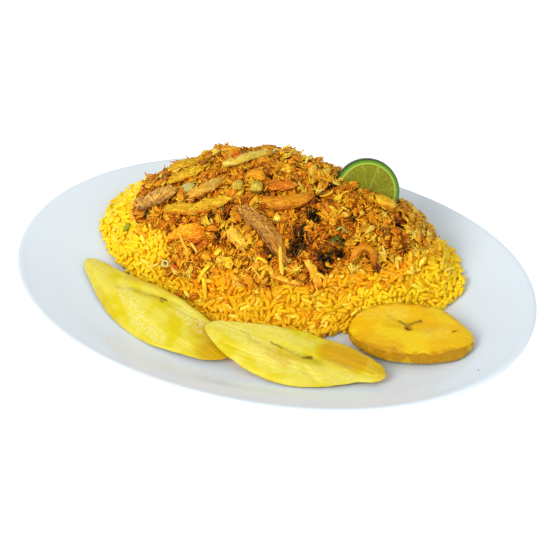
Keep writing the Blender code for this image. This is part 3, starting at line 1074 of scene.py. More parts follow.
@dataclass(frozen=True)
class CoreFinish:
    """The close-packed food under the loose pieces: painted shade makes it darker in its hollows, and painted
    light lighter on its crests.
    """

    name: str
    # Painted shade low in the relief, then painted light on its crests.
    hollow: Colour
    crest: Colour
    patch: Colour
    # Shown where the attribute deep is set: near black painted shade in the crab's marked hollows, and the
    # golden share in the rice.
    deep: Colour
    strewn: Colour
    size: float = 2.2 * MM
    depth: float = 0.5 * MM
    inner: float = 0.0

    def material(self) -> Material:
        """Makes the material.

        Returns:
            The material.
        """
        made = Recipe(self.name)
        colour = made.layers(
            self.hollow,
            (made.span(made.attribute("height"), 0.1, 0.9), self.crest),
            (made.span(made.noise(9 * MM), 0.5, 0.72), self.patch),
            (made.attribute("strewn"), self.strewn),
            (made.attribute("deep"), self.deep),
        )
        made.set(Base_Color=colour, Roughness=0.6, Normal=made.bump((made.noise(self.size), self.depth)))
        made.shine(0.12)
        made.flesh(self.inner, (1.0, 0.76, 0.3), 2.0 * MM)
        return made.material


# Where rice lies over the crab's edge: rounds of x, y, z and radius.
STREWN = np.array((
    (-33, -32, 21, 9), (-22, -31, 28, 9), (-12, -34, 25, 7), (46, -18, 35, 6),
    (55, -14.5, 36, 8), (64, -9.5, 36, 8), (74, -5, 35, 7.5), (83, 1, 35, 8.5),
    (90, 8.5, 36, 9), (97, 17, 35, 10), (102, 30, 33, 9), (104, 41, 33, 8),
))

# Where the back of the heap has settled: rounds of x, y, radius and depth.
SUNK = np.array(((-93, 50, 20, 10), (-72, 54, 20, 8), (-31, 52, 14, 5), (8, 70, 20, 6), (27, 62, 14, 4)))

# Hollows in the crab, sunk and painted near black as painted shade: rounds of x, y and radius.
HOLLOWS = np.array((
    (22.5, -9.5, 4.6), (20, -14, 4), (41, -10.5, 5.5), (39, -18.5, 3), (48, -4, 4.5),
    (28.5, 3, 4.5), (27.5, 18, 3), (31.5, 27, 3.5), (-6, 7.5, 3.2), (-20, 6, 3),
    (-9, 23, 3), (5, -19, 3.5), (-27.5, -5.5, 3.5), (-38.5, -6.5, 2.8), (-87.5, 3.5, 3.2),
    (-67, 3.5, 3), (-58, 1.5, 2.8), (-60, -9, 2.8), (-70, -11.5, 2.6), (-30, -15.5, 3.6),
    (-43.5, -0.5, 2.4), (72.5, -3, 2.8), (78.5, 26.5, 2.8), (86.5, 15, 2.6), (51, 12.5, 2.6),
))


def inside(
    places: Rows, rounds: Rows, size: int, fade: tuple[float, float], wave: Rows | float = 0.0
) -> Rows:
    """How far inside each round each place lies, 0 to 1.

    Args:
        places: The places, in metres.
        rounds: One row for each round: its middle, its radius and maybe more.
        size: How many numbers its middle has.
        fade: Shares of the radius at which it starts to fade and has faded.
        wave: Moves the rounds' edges.

    Returns:
        One row for each round.
    """
    apart = places[None, :, :size] / MM - rounds[:, None, :size]
    away = np.linalg.norm(apart, axis=2) / rounds[:, size, None] + wave
    return 1.0 - smooth_step(away, *fade)


def sunk_depth(places: Rows) -> Rows:
    """How far the back of the heap has settled at each place."""
    depth = SUNK[:, 3:] * MM * inside(places, SUNK, 2, (0.3, 1.0))
    return depth.max(axis=0) * smooth_step(places[:, 2], 0.02, 0.04)


def strewn_share(places: Rows) -> Rows:
    """How much of the crab's edge is rice at each place, 0 to 1."""
    return inside(places, STREWN, 3, (0.75, 1.15), 0.25 * lumps(places, 5.0 * MM, 12.0)).max(axis=0)


def left_bare(strewn: Rows, dice: Dice) -> Rows:
    """Whether chance leaves the crab bare of rice at places with these strewn shares."""
    return strewn < dice.uniform(0.2, 0.8, len(strewn))


class Heap:
    """What both heaps share: a core, and loose pieces over it."""

    node: str
    slot: Slot
    core: CoreFinish
    loose: TintedFinish

    def dress(self, core: Piece, loose: Iterable[Piece]) -> None:
        """Finishes the core and the loose pieces.

        Args:
            core: The core.
            loose: The joined pieces over it.
        """
        lay_down(core, self.core.material(), self.slot, self.node)
        finish = self.loose.material()
        for piece in loose:
            lay_down(piece, finish, self.slot)


@dataclass
class RiceHeap(Heap):
    """Long cooked grains lying over a close core."""

    node: str = "rice_heap"
    slot: Slot = Slot.RICE
    seed: int = 11
    grain_length: float = 7.6 * MM
    grain_half_width: float = 1.56 * MM
    core_voxel: float = 1.3 * MM
    core_depth: float = 1.9 * MM
    clump_size: float = 10.0 * MM
    clump_depth: float = 3.0 * MM
    tries: int = 60000
    closeness: float = 0.4
    most_rise: float = 1.9 * MM
    tucked: float = 6.0 * MM
    steepest: float = -0.15
    ball_shares: tuple[float, ...] = (-0.38, -0.13, 0.13, 0.38)
    lemon: Colour = (255, 214, 28)
    gold: Colour = (240, 184, 20)
    amber: Colour = (236, 142, 12)
    cream: Colour = (255, 226, 84)
    # Hollow and crest are painted shade and painted light on the core's relief, and deep is the golden share.
    core: CoreFinish = CoreFinish(
        "packed_rice", (255, 196, 16), (255, 218, 30), (255, 206, 20), (234, 166, 12), (254, 194, 16),
        inner=0.8,
    )
    loose: TintedFinish = TintedFinish(
        "rice_grain", 0.42, 2.2 * MM, 0.94, 1.05, 0.03 * MM, 0.28, inner=0.5, inner_radius=(1.0, 0.75, 0.3)
    )

    def clump_height(self, places: Rows) -> Rows:
        """Height of the clumps of grains: 1 on top of a clump and 0 in the furrows."""
        return cells(places + 1.6 * MM * lumps(places, 7.0 * MM, 14.0)[:, None], self.clump_size, 21.0)

    def golden(self, places: Rows) -> Rows:
        """How golden the rice is: most at the front, and more in the furrows between clumps, which is painted
        shade.

        Args:
            places: One row each.

        Returns:
            One share each.
        """
        drift = 0.85 * smooth_step(places[:, 0], -0.085, -0.03) - 0.8 * smooth_step(places[:, 0], 0.05, 0.08)
        # Painted shade: the furrows between clumps are made more golden.
        clump = 0.5 * (0.45 - self.clump_height(places)) * (0.4 + drift)
        return np.clip(drift + 0.3 * lumps(places, 15 * MM, 5.0) + clump, 0.0, 1.0)

    def build_core(self) -> Piece:
        """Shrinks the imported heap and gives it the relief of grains.

        Returns:
            The core.
        """
        core = copy_of_node("rice_heap", "rice_core")
        apply_modifier(core, "REMESH", mode="VOXEL", voxel_size=self.core_voxel)
        places, outward = rows_of(core), rows_of(core, "normal")
        relief = 0.7 * self.clump_height(places) + 0.3 * cells(places * [1.0, 1.0, 1.4], 4.2 * MM, 3.0)
        shift = self.clump_depth * relief + 1.0 * MM * lumps(places, 16.0 * MM, 9.0) - self.core_depth
        moved = places + along(outward, smooth_step(outward[:, 2], -0.5, 0.1) * shift)
        moved[:, 2] -= sunk_depth(places)
        place_points(core, moved)
        # height picks painted shade or painted light, and deep carries the golden share with its painted
        # shade.
        write_numbers(core, height=relief, deep=self.golden(places))
        return core

    def tint(self, places: Rows, near_crab: Rows, dice: Dice) -> Rows:
        """Colours for grains: lemon at the left end, golden at the front and right and, as painted shade, in
        the furrows between clumps, stained by the crab.

        Args:
            places: Where the grains lie.
            near_crab: How close each lies to the crab, 0 to 1.
            dice: Where chance comes from.

        Returns:
            One colour each.
        """
        count = len(places)
        colours = (self.lemon, self.gold, self.amber, self.cream)
        lemon, gold, amber, cream = (np.array(light_of(colour)) for colour in colours)
        golden = np.clip(self.golden(places) + dice.normal(0, 0.15, count), 0, 1)
        stain = np.clip(0.75 * near_crab * (0.6 + lumps(places, 11 * MM, 8.0)), 0.0, 1.0)
        stain = np.clip(stain + (dice.random(count) < 0.03) * 0.6, 0.0, 1.0)
        tints = blend(blend(lemon, gold, golden), amber, stain)
        tints = blend(tints, cream, (dice.random(count) < 0.13) * dice.uniform(0.3, 0.9, count))
        return tints * dice.uniform(0.93, 1.05, count)[:, None]

    def resting_places(self, core: Piece, crab: Ground, others: Ground, dice: Dice) -> tuple[Rows, Rows]:
        """Where grains may lie: over the core, and over the crab's edge where it is strewn with rice.

        Args:
            core: The core that they lie on.
            crab: The crab's core.
            others: The other pieces that grains keep clear of.
            dice: Where chance comes from.

        Returns:
            The places and the outward directions there.
        """
        places, outward = Ground([core]).scatter(self.tries, dice)
        aside = places + outward * [1.0, 1.0, 0.0] * self.tucked
        kept = (outward[:, 2] > self.steepest) & ~crab.covers(aside)
        edge, edge_up = crab.scatter(self.tries, dice)
        strewn = ~left_bare(strewn_share(edge), dice) & (edge_up[:, 2] > self.steepest)
        order = dice.permutation(np.count_nonzero(kept) + np.count_nonzero(strewn))
        places = np.vstack([places[kept], edge[strewn]])[order]
        outward = np.vstack([outward[kept], edge_up[strewn]])[order]
        kept = others.distance(places + outward * 1.2 * MM) > 1.1 * MM
        return places[kept], outward[kept]

    def build_grains(self, core: Piece, plate: Ground, crab: Ground, others: Ground) -> list[Piece]:
        """Drops grains over the core and over the crab's edge, clear of the other food.

        Args:
            core: The core that they lie on.
            plate: The plate's surface.
            crab: The crab's core.
            others: The other pieces that grains keep clear of.

        Returns:
            The joined grains, in two pieces.
        """
        dice = np.random.default_rng(self.seed)
        places, outward = self.resting_places(core, crab, others, dice)
        count = len(places)
        lengths = self.grain_length * dice.normal(1.0, 0.11, count)
        half = self.grain_half_width * dice.normal(1.0, 0.07, count)
        flat = smooth_step(outward[:, 2], 0.1, 0.6)
        tilts = dice.normal(0.0, 0.3, count) * (0.3 + 0.7 * flat)
        axes = turned_axes(outward, dice.uniform(0, math.tau, count), tilts)
        places = places - along(outward, MM * (0.35 + 0.5 * (1.0 - flat)))
        balls = balls_along(places, axes, lengths, self.ball_shares)
        rises = Pile().settle(balls, half, outward, self.closeness, self.most_rise)
        tips = balls[:, [0, -1]] + outward[:, None] * np.maximum(rises, 0.0)[:, None, None]
        low = np.minimum(plate.distance(tips[:, 0]), plate.distance(tips[:, 1]))
        places = places + along(outward, rises)
        kept = (rises >= 0.0) & (low > 0.6 * MM) & (others.distance(places) > 0.9 * MM)
        near = 1.0 - smooth_step(np.abs(crab.distance(places)), 0.0, 12.0 * MM)
        tints = self.tint(places, near, dice)
        sizes = np.stack([lengths, half, half * dice.uniform(0.85, 1.0, count)], axis=1)
        order = np.flatnonzero(kept)
        plump = ((-0.5, 0.3), (-0.42, 0.74), (0.02, 1.0), (0.43, 0.7), (0.5, 0.3))
        long = ((-0.5, 0.34, 0.34), (-0.38, 0.86, 0.8), (0.36, 0.9, 0.86), (0.5, 0.36, 0.36))
        shapes = rod_shape(6, *((at, wide, wide) for at, wide in plump)), rod_shape(6, *long)
        made = []
        for number, shape in enumerate(shapes):
            part = order[number :: len(shapes)]
            batch = Batch(dice)
            batch.add(shape, places[part], axes[part], sizes[part], tints[part], bend=1.3, rough=0.05)
            made.append(batch.join(f"rice_grains_{number + 1}"))
        return made


@dataclass(frozen=True)
class Kind:
    """One kind of loose crab: how many there are, its size in millimetres and how it lies."""

    name: str
    tries: int
    most: int
    length: float
    half_width: float
    half_thickness: float
    rough: float
    bend: float
    tilt: float
    closeness: float
    rise: float
    lift: float
    spilled: int


@dataclass
class CrabTopping(Heap):
    """Flaked crab and minced vegetables, clump by clump over a core painted dark in its hollows as painted
    shade.
    """

    node: str = "crab_topping"
    slot: Slot = Slot.CRAB
    seed: int = 23
    core_voxel: float = 1.1 * MM
    core_depth: float = 2.9 * MM
    clump_size: float = 11.0 * MM
    clump_depth: float = 4.4 * MM
    hollow_depth: float = 5.5 * MM
    spill_reach: float = 2.6
    steepest: float = -0.45
    ball_shares: tuple[float, ...] = (-0.3, 0.0, 0.3)
    palette: tuple[Colour, ...] = (
        (26, 13, 9), (118, 52, 10), (184, 90, 12), (226, 134, 16),
        (244, 170, 26), (252, 200, 42), (250, 220, 96),
    )
    kinds: tuple[Kind, ...] = (
        Kind("crab_flakes", 4200, 460, 8.6, 2.2, 1.6, 0.08, 2.0, 0.26, 0.55, 2.4, 0.4, 8),
        Kind("crab_clumps", 5000, 640, 4.6, 1.7, 1.3, 0.34, 0.0, 0.26, 0.55, 2.2, 0.1, 24),
        Kind("crab_bundles", 9000, 3000, 7.4, 1.75, 1.0, 0.07, 2.6, 0.32, 0.4, 2.6, 0.3, 60),
        Kind("crab_shreds", 10500, 3300, 6.2, 0.82, 0.64, 0.14, 4.0, 0.34, 0.4, 2.8, 0.3, 120),
        Kind("crab_crumbs", 9000, 1700, 2.0, 0.85, 0.75, 0.26, 0.0, 0.4, 0.46, 2.4, 0.1, 160),
        Kind("crab_hairs", 5000, 2600, 5.0, 0.26, 0.26, 0.1, 9.0, 0.42, 0.3, 3.0, 0.7, 40),
    )
    # Painted shade: dark hollow colour low in the relief and near black deep colour in the marked hollows;
    # painted light: crest colour on clump tops.
    core: CoreFinish = CoreFinish(
        "packed_crab", (150, 70, 10), (234, 144, 20), (196, 104, 14), (16, 8, 6), (252, 184, 14),
        size=1.6 * MM, depth=0.8 * MM,
    )
    loose: TintedFinish = TintedFinish(
        "loose_crab", roughness=0.42, shine=0.25, inner=0.25, inner_scale=0.8 * MM, streak=0.7
    )

    def hollow_at(self, places: Rows) -> Rows:
        """How deep in a hollow each place lies, 0 to 1."""
        return inside(places, HOLLOWS, 2, (0.45, 1.25)).max(axis=0)

    def clump_height(self, places: Rows) -> Rows:
        """Height of the clumps: 1 on top of a clump and 0 in the furrows between clumps."""
        return cells(places + 1.5 * MM * lumps(places, 6.0 * MM, 4.0)[:, None], self.clump_size, 1.0)

    def build_core(self) -> Piece:
        """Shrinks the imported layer, then raises clumps and sinks the hollows.

        Returns:
            The core.
        """
        core = copy_of_node("crab_topping", "crab_core")
        apply_modifier(core, "REMESH", mode="VOXEL", voxel_size=self.core_voxel)
        places, outward = rows_of(core), rows_of(core, "normal")
        relief = 0.75 * self.clump_height(places) + 0.25 * cells(places, 3.6 * MM, 6.0)
        hollow = self.hollow_at(places)
        shift = self.clump_depth * relief - self.core_depth - self.hollow_depth * hollow
        moved = places + along(outward, smooth_step(outward[:, 2], -0.3, 0.2) * shift)
        moved[:, 2] -= sunk_depth(places)
        place_points(core, moved)
        # Painted shade and light: height picks the crest or hollow colour, and deep paints the marked hollows
        # near black.
        write_numbers(core, height=relief * (1.0 - hollow), deep=hollow, strewn=strewn_share(places))
        return core

    def tint(self, places: Rows, dice: Dice, lift: float) -> Rows:
        """Colours for crab: patches from brown to yellow, lighter at the back, with painted light towards the
        right and on clump tops, and painted shade in furrows and hollows.

        Args:
            places: Where the pieces lie.
            dice: Where chance comes from.
            lift: Moves the colours towards yellow.

        Returns:
            One colour each.
        """
        x, y = places[:, 0], places[:, 1]
        # Lighter at the back, and painted light that lifts the right of the heap towards yellow.
        level = 2.7 + 0.25 * smooth_step(x, -0.03, 0.03) + 0.25 * smooth_step(y, 0.01, 0.05) + lift
        # Painted light on the tops of clumps, painted shade in the furrows between them.
        level = level + 1.8 * smooth_step(self.clump_height(places), 0.05, 0.5)
        level = level + 0.9 * lumps(places, 9 * MM, 2.0) + 0.9 * lumps(places, 4 * MM, 7.0)
        # Random spread, and more painted light at the right end.
        level = level + dice.normal(0.0, 0.55, len(places)) + 0.4 * smooth_step(x, 0.04, 0.07)
        away = np.hypot(x - 0.034, y + 0.002) / 0.026
        # Darker round one spot in the middle; painted shade takes pieces in the marked hollows to the darkest
        # colour.
        level = level - 0.7 * (1.0 - smooth_step(away, 0.4, 1.0)) - 4.2 * self.hollow_at(places)
        palette = np.array([light_of(colour) for colour in self.palette])
        level = np.clip(level, 0.0, len(palette) - 1.001)
        low = level.astype(int)
        return blend(palette[low], palette[low + 1], level - low)

    def shapes(self, kind: Kind, dice: Dice) -> list[Shape]:
        """Models the few shapes of one kind.

        Args:
            kind: The kind.
            dice: Where chance comes from.

        Returns:
            The shapes.
        """
        match kind.name:
            case "crab_flakes":
                return [flake_shape(dice) for _ in range(6)]
            case "crab_clumps":
                return [lump_shape(2)]
            case "crab_crumbs":
                return [lump_shape(1)]
            case "crab_bundles":
                strand = rod_shape(3, (-0.5, 0.2, 0.2), (-0.25, 0.9, 0.9), (0.2, 1.0, 1.0), (0.5, 0.15, 0.15))
                return [bundle_shape(strand, 4, dice) for _ in range(4)]
            case "crab_hairs":
                return [thread_shape(3, 0.4, 0.9, 0.3, 0.25)]
        ends = (-0.5, 0.15, 0.15), (0.5, 0.12, 0.12)
        return [rod_shape(4, ends[0], (-0.3, 0.7, 0.6), (0.0, 1.0, 0.8), (0.3, 0.75, 0.6), ends[1])]

    def spill(self, count: int, crab: Ground, rice: Ground, dice: Dice) -> tuple[Rows, Rows]:
        """Where pieces have fallen on the rice, close to the crab.

        Args:
            count: How many at most.
            crab: The crab's core.
            rice: The rice's core.
            dice: Where chance comes from.

        Returns:
            The places and the outward directions there.
        """
        places, outward = rice.scatter(60 * count, dice)
        away = crab.distance(places) / MM
        likely = dice.random(len(places)) < 0.8 * np.exp(-away / self.spill_reach)
        kept = ~crab.covers(places) & (away > 0.0) & likely
        kept &= strewn_share(places + outward * 5.0 * MM) < 0.2
        return (places + outward * 2.8 * MM)[kept][:count], outward[kept][:count]

    def build_kind(
        self, kind: Kind, pile: Pile, crab: Ground, rice: Ground, strips: Ground, dice: Dice
    ) -> Piece:
        """Lays one kind of loose crab over the core, and spills some of it on the rice.

        Args:
            kind: The kind.
            pile: What has been laid down so far.
            crab: The crab's core.
            rice: The rice's core.
            strips: The larger pieces that stay bare on top.
            dice: Where chance comes from.

        Returns:
            The joined pieces.
        """
        places, outward = crab.scatter(kind.tries, dice)
        kept = left_bare(strewn_share(places), dice) & (outward[:, 2] > self.steepest)
        if kind.half_width > 1.0:
            kept &= self.hollow_at(places) < 0.35
        spilled, spilled_up = self.spill(kind.spilled, crab, rice, dice)
        places, outward = np.vstack([spilled, places[kept]]), np.vstack([spilled_up, outward[kept]])
        fine = 1.0 - 0.3 * smooth_step(places[:, 0], 0.0, 0.06)
        size = MM * fine * np.exp(dice.normal(0.0, 0.26, len(places)))
        kept = strips.distance(places + along(outward, kind.half_width * size)) > 0.4 * kind.half_width * size
        places, outward = places[kept], outward[kept]
        sizes = np.array([kind.length, kind.half_width, kind.half_thickness]) * size[kept, None]
        lengths, half, thick = sizes.T
        count = len(places)
        axes = turned_axes(outward, dice.uniform(0, math.tau, count), dice.normal(0.0, kind.tilt, count))
        places = places + along(outward, 0.4 * half)
        balls = balls_along(places, axes, lengths, self.ball_shares)
        rises = pile.settle(balls, 0.5 * (half + thick), outward, kind.closeness, kind.rise * MM)
        kept = np.flatnonzero(rises >= 0.0)[: kind.most]
        places = places + along(outward, rises)
        tints = self.tint(places, dice, kind.lift)
        batch = Batch(dice)
        shapes = self.shapes(kind, dice)
        for number, shape in enumerate(shapes):
            part = kept[number :: len(shapes)]
            batch.add(shape, places[part], axes[part], sizes[part], tints[part], kind.bend, kind.rough)
        return batch.join(kind.name)

    def build_loose(self, core: Piece, rice: Ground, strips: Ground) -> list[Piece]:
        """Lays every kind of loose crab, the largest first.

        Args:
            core: The core that they lie on.
            rice: The rice's core.
            strips: The larger pieces that stay bare on top.

        Returns:
            The joined pieces, one for each kind.
        """
        dice = np.random.default_rng(self.seed)
        pile, crab = Pile(), Ground([core])
        return [self.build_kind(kind, pile, crab, rice, strips, dice) for kind in self.kinds]


# ---- strips, legs and chunks


@dataclass(frozen=True)
class FibreFinish:
    """Stringy flesh: streaks along the piece with painted highlight on their ridges, darker blotches, painted
    shade as a warmer, darker underside, and a paler tip.
    """

    name: str
    body: Colour
    # Colour of the streaks on the fibre relief's ridges, which is painted highlight, and of paler loose
    # fibres.
    pale: Colour
    dark: Colour
    # Painted shade on the side facing down and to the front and in the valleys between ridges, and also
    # random specks.
    under: Colour
    tip: Colour
    tip_start: float = 2.0
    blotch: float = 3.0 * MM
    blotch_from: float = 0.62
    skin_end: float = 2.0
    skin: float = 0.3
    roughness: float = 0.4

    def material(self) -> Material:
        """Makes the material.

        Returns:
            The material.
        """
        made = Recipe(self.name)
        run = made.attribute("along")
        streak = made.fibres((160.0, 900.0, 900.0), 3.0, 0.4)
        end = made.maths("ADD", run, made.maths("MULTIPLY", streak, 0.15))
        start = self.blotch_from
        blotches = made.span(made.noise(self.blotch, 4.0, 0.8), start - 0.06, start + 0.05)
        worn = made.span(run, self.skin_end - 0.2, self.skin_end + 0.1, self.skin, 0.0)
        colour = made.layers(
            self.body,
            # Painted highlight: the pale colour on the ridges of the fibre relief.
            (made.span(streak, 0.44, 0.6), self.pale),
            (made.span(end, self.tip_start, self.tip_start + 0.25), self.tip),
            (made.maths("MULTIPLY", blotches, worn), self.dark),
            # Painted shade: the under colour where the attribute under is set.
            (made.maths("MULTIPLY", made.attribute("under"), 0.85), self.under),
            (made.span(made.noise(0.8 * MM, 2.0), 0.3, 0.7, 0.0, 0.22), self.under),
        )
        relief = made.bump((streak, 0.35 * MM), (made.noise(0.7 * MM, 2.0), 0.12 * MM))
        made.set(Base_Color=colour, Roughness=self.roughness, Normal=relief)
        made.shine(0.35)
        made.flesh(0.12, (1.0, 0.5, 0.15), 1.2 * MM)
        return made.material


YELLOW = FibreFinish(
    "flesh_yellow", (204, 156, 16), (230, 192, 40), (188, 112, 14), (184, 88, 8), (226, 176, 50)
)
TAN = FibreFinish(
    "flesh_tan", (212, 156, 40), (222, 184, 74), (176, 108, 26), (166, 82, 12), (196, 158, 66), 0.55
)
STRAW = FibreFinish(
    "flesh_straw", (214, 182, 56), (228, 206, 96), (192, 154, 40), (160, 120, 22), (200, 136, 30), 0.82
)
RED = FibreFinish(
    "flesh_red", (206, 104, 12), (226, 144, 22), (168, 66, 10), (124, 44, 8), (218, 150, 30), 0.8
)
ORANGE = FibreFinish(
    "flesh_orange", (204, 126, 8), (222, 152, 16), (172, 82, 8), (140, 58, 6), (200, 108, 16), 0.85,
    roughness=0.32,
)
CHUNK = FibreFinish(
    "flesh_chunk", (244, 160, 12), (250, 194, 36), (222, 122, 10), (190, 80, 10), (222, 122, 14), 0.72
)
PALE = FibreFinish(
    "flesh_pale", (236, 184, 38), (246, 208, 84), (208, 132, 26), (196, 112, 18), (236, 178, 44)
)
GOLD = FibreFinish(
    "flesh_gold", (246, 176, 30), (250, 212, 84), (220, 130, 16), (196, 100, 14), (224, 142, 24), 0.8
)
ONION = FibreFinish(
    "flesh_onion", (176, 168, 88), (200, 192, 124), (150, 132, 50), (126, 96, 30), (180, 160, 80)
)
CUBE = FibreFinish(
    "flesh_cube", (190, 160, 34), (216, 190, 76), (160, 124, 20), (104, 70, 16), (190, 156, 44)
)
LEG = FibreFinish(
    "leg_skin", (190, 124, 38), (212, 160, 66), (120, 70, 34), (96, 46, 14), (196, 130, 38),
    tip_start=0.66, blotch=1.7 * MM, blotch_from=0.52, skin_end=0.7, skin=0.85,
)
LEG_SPECKLED = FibreFinish(
    "leg_skin_speckled", (222, 160, 60), (230, 182, 82), (128, 78, 44), (104, 52, 14), (218, 170, 64),
    tip_start=0.8, blotch=2.0 * MM, blotch_from=0.53, skin=0.85,
)


@dataclass(frozen=True)
class Strip:
    """One strip, leg or chunk: its node, slot and finish, and how ragged it is in millimetres."""

    node: str
    slot: Slot
    finish: FibreFinish
    ridge: float = 0.8
    frill: float = 0.75
    fray: float = 3.0
    fibres: int = 60
    diced: bool = False


STRIPS = (
    Strip("crab_leg_dark", Slot.LEG, LEG_SPECKLED, 0.7, 0.9, 2.6, 40),
    Strip("crab_leg_front", Slot.LEG, LEG, 0.7, 0.9, 2.8, 90),
    Strip("crab_strip_upper", Slot.STRIP_YELLOW, YELLOW),
    Strip("crab_strip_rear", Slot.STRIP_YELLOW, YELLOW),
    Strip("crab_strip_long", Slot.STRIP_YELLOW, YELLOW, 0.7, 0.8, 3.0, 100),
    Strip("crab_strip_tan", Slot.STRIP_TAN, TAN),
    Strip("pepper_strip_pale", Slot.STRIP_PALE, STRAW, 0.25, 0.25, 1.4, 6),
    Strip("pepper_strip_red", Slot.STRIP_RED, RED, 0.6, 0.6, 2.4, 30),
    Strip("pepper_strip_curved", Slot.STRIP_ORANGE, ORANGE, 0.6, 0.6, 2.4, 40),
    Strip("crab_claw_small", Slot.STRIP_ORANGE, ORANGE, 0.5, 0.5, 1.8, 20),
    Strip("crab_chunk_top", Slot.CHUNK, CHUNK, 0.9, 1.1, 2.8, 50),
    Strip("crab_chunk_wedge", Slot.CHUNK, CHUNK, 0.9, 1.1, 3.0, 90),
    Strip("crab_chunk_pale", Slot.FLESH, PALE, 0.8, 1.2, 2.4, 60),
    Strip("crab_flake_front", Slot.FLESH, GOLD, 0.6, 0.6, 2.0, 20),
    Strip("onion_strip_pale", Slot.FLESH, GOLD, 0.3, 0.3, 1.5, 8),
    Strip("crab_lump_lime", Slot.STRIP_YELLOW, YELLOW, 0.5, 0.7, 1.6, 14),
    Strip("onion_oval", Slot.FLESH, ONION, 0.3, 0.3, 0.8, 4),
    Strip("pepper_cube_left", Slot.STRIP_PALE, CUBE, 0.3, 0.3, 0.6, 6, True),
    Strip("pepper_cube_right", Slot.STRIP_PALE, CUBE, 0.3, 0.3, 0.6, 6, True),
)


@dataclass
class StripSet:
    """The larger pieces on top of the crab, each with torn fibres of its own."""

    seed: int = 31
    swell: float = 0.35 * MM
    fibre_length: float = 4.6 * MM
    fibre_half_width: float = 0.3 * MM
    fibre_lift: float = 0.15 * MM
    torn: TintedFinish = TintedFinish("torn_fibres", shine=0.35)

    def build(self, strip: Strip, dice: Dice) -> Piece:
        """Refines one packed strip: ridges along it, a frilled edge and frayed ends.

        Args:
            strip: The strip.
            dice: Where chance comes from.

        Returns:
            The refined piece.
        """
        piece = copy_of_node(strip.node, f"{strip.node}_flesh")
        way = "SIMPLE" if strip.diced else "CATMULL_CLARK"
        apply_modifier(piece, "SUBSURF", subdivision_type=way, levels=3, render_levels=3)
        points, outward = rows_of(piece), rows_of(piece, "normal")
        spine = Spine(points)
        rows, share, offset = spine.local(points)
        seed = dice.uniform(0.0, 50.0)
        follow = np.column_stack([share * spine.length, offset * rows[:, 9:11]])
        ridges = lumps(follow * [1.0, 6.0, 6.0], 7.0 * MM, seed)
        frill = lumps(points, 2.0 * MM, seed + 3.0) + 0.6 * lumps(points, 0.9 * MM, seed + 5.0)
        sway = lumps(points, 9.0 * MM, seed + 8.0)
        shift = self.swell + MM * (strip.ridge * ridges + strip.frill * frill + 0.6 * sway)
        ends = smooth_step(np.abs(share - 0.5), 0.36, 0.5)
        fray = MM * strip.fray * ends * lumps(follow * [0.2, 1.0, 1.0], 1.6 * MM, seed + 9.0)
        torn = np.outer(fray * np.sign(share - 0.5), spine.axis)
        place_points(piece, points + along(outward, shift) + torn)
        # Painted shade: under grows on the side facing down and to the front, and in the valleys between
        # ridges.
        lower = -0.93 * outward[:, 2] - 0.37 * outward[:, 1]
        write_numbers(piece, follow=follow, along=share, under=smooth_step(lower - 0.4 * ridges, -0.35, 0.5))
        return piece

    def fibres(self, pieces: Iterable[Piece], dice: Dice) -> Piece:
        """Lays torn fibres along every strip.

        Args:
            pieces: The refined pieces, in the strips' order.
            dice: Where chance comes from.

        Returns:
            The joined fibres.
        """
        thread = thread_shape(4, 0.2, 0.8, 0.2, 0.3)
        batch = Batch(dice)
        for strip, piece in zip(STRIPS, pieces):
            ground = Ground([piece])
            places, outward = ground.scatter(4 * strip.fibres, dice)
            kept = np.flatnonzero(outward[:, 2] > -0.1)[: strip.fibres]
            places, outward = places[kept], outward[kept]
            count = len(places)
            heading = unit(Spine(ground.points).axis + dice.normal(0.0, 0.35, (count, 3)))
            off = (heading * outward).sum(axis=1) * dice.uniform(0.6, 1.0, count)
            heading = unit(heading - along(outward, off))
            side = unit(np.cross(outward, heading))
            axes = np.stack([heading, side, np.cross(heading, side)], axis=1)
            lengths = self.fibre_length * np.exp(dice.normal(0.0, 0.3, count))
            half = self.fibre_half_width * np.exp(dice.normal(0.0, 0.3, count))
            sizes = np.stack([lengths, half, half], axis=1)
            first, second = np.array(light_of(strip.finish.body)), np.array(light_of(strip.finish.pale))
            tints = np.clip(blend(first, second, dice.uniform(-0.3, 1.1, count)), 0.0, 1.0)
            batch.add(thread, places + outward * self.fibre_lift, axes, sizes, tints, bend=5.0, rough=0.1)
        return batch.join("strip_fibres")

    def make(self) -> list[Piece]:
        """Builds and finishes every strip and the fibres on them.

        Returns:
            The finished pieces.
        """
        dice = np.random.default_rng(self.seed)
        pieces = [self.build(strip, dice) for strip in STRIPS]
        finishes: dict[FibreFinish, Material] = {}
        for strip, piece in zip(STRIPS, pieces):
            if strip.finish not in finishes:
                finishes[strip.finish] = strip.finish.material()
            lay_down(piece, finishes[strip.finish], strip.slot, strip.node)
        return [*pieces, lay_down(self.fibres(pieces, dice), self.torn.material(), Slot.FLESH)]


# ---- small bits


class Tint(Enum):
    """Colours of the small bits."""

    LEAF = (92, 104, 36)
    LEAF_LIGHT = (158, 176, 84)
    PEA = (150, 156, 24)
    ONION = (206, 200, 116)
    CREAM = (244, 204, 84)
    WHITE = (222, 178, 74)
    STRAW = (240, 190, 58)
    YELLOW = (250, 206, 40)
    ORANGE = (240, 140, 16)
    RED = (206, 88, 16)
    BROWN = (136, 80, 26)
    BLACK = (38, 22, 12)
    PLUM = (84, 40, 30)
    GREY = (74, 60, 42)


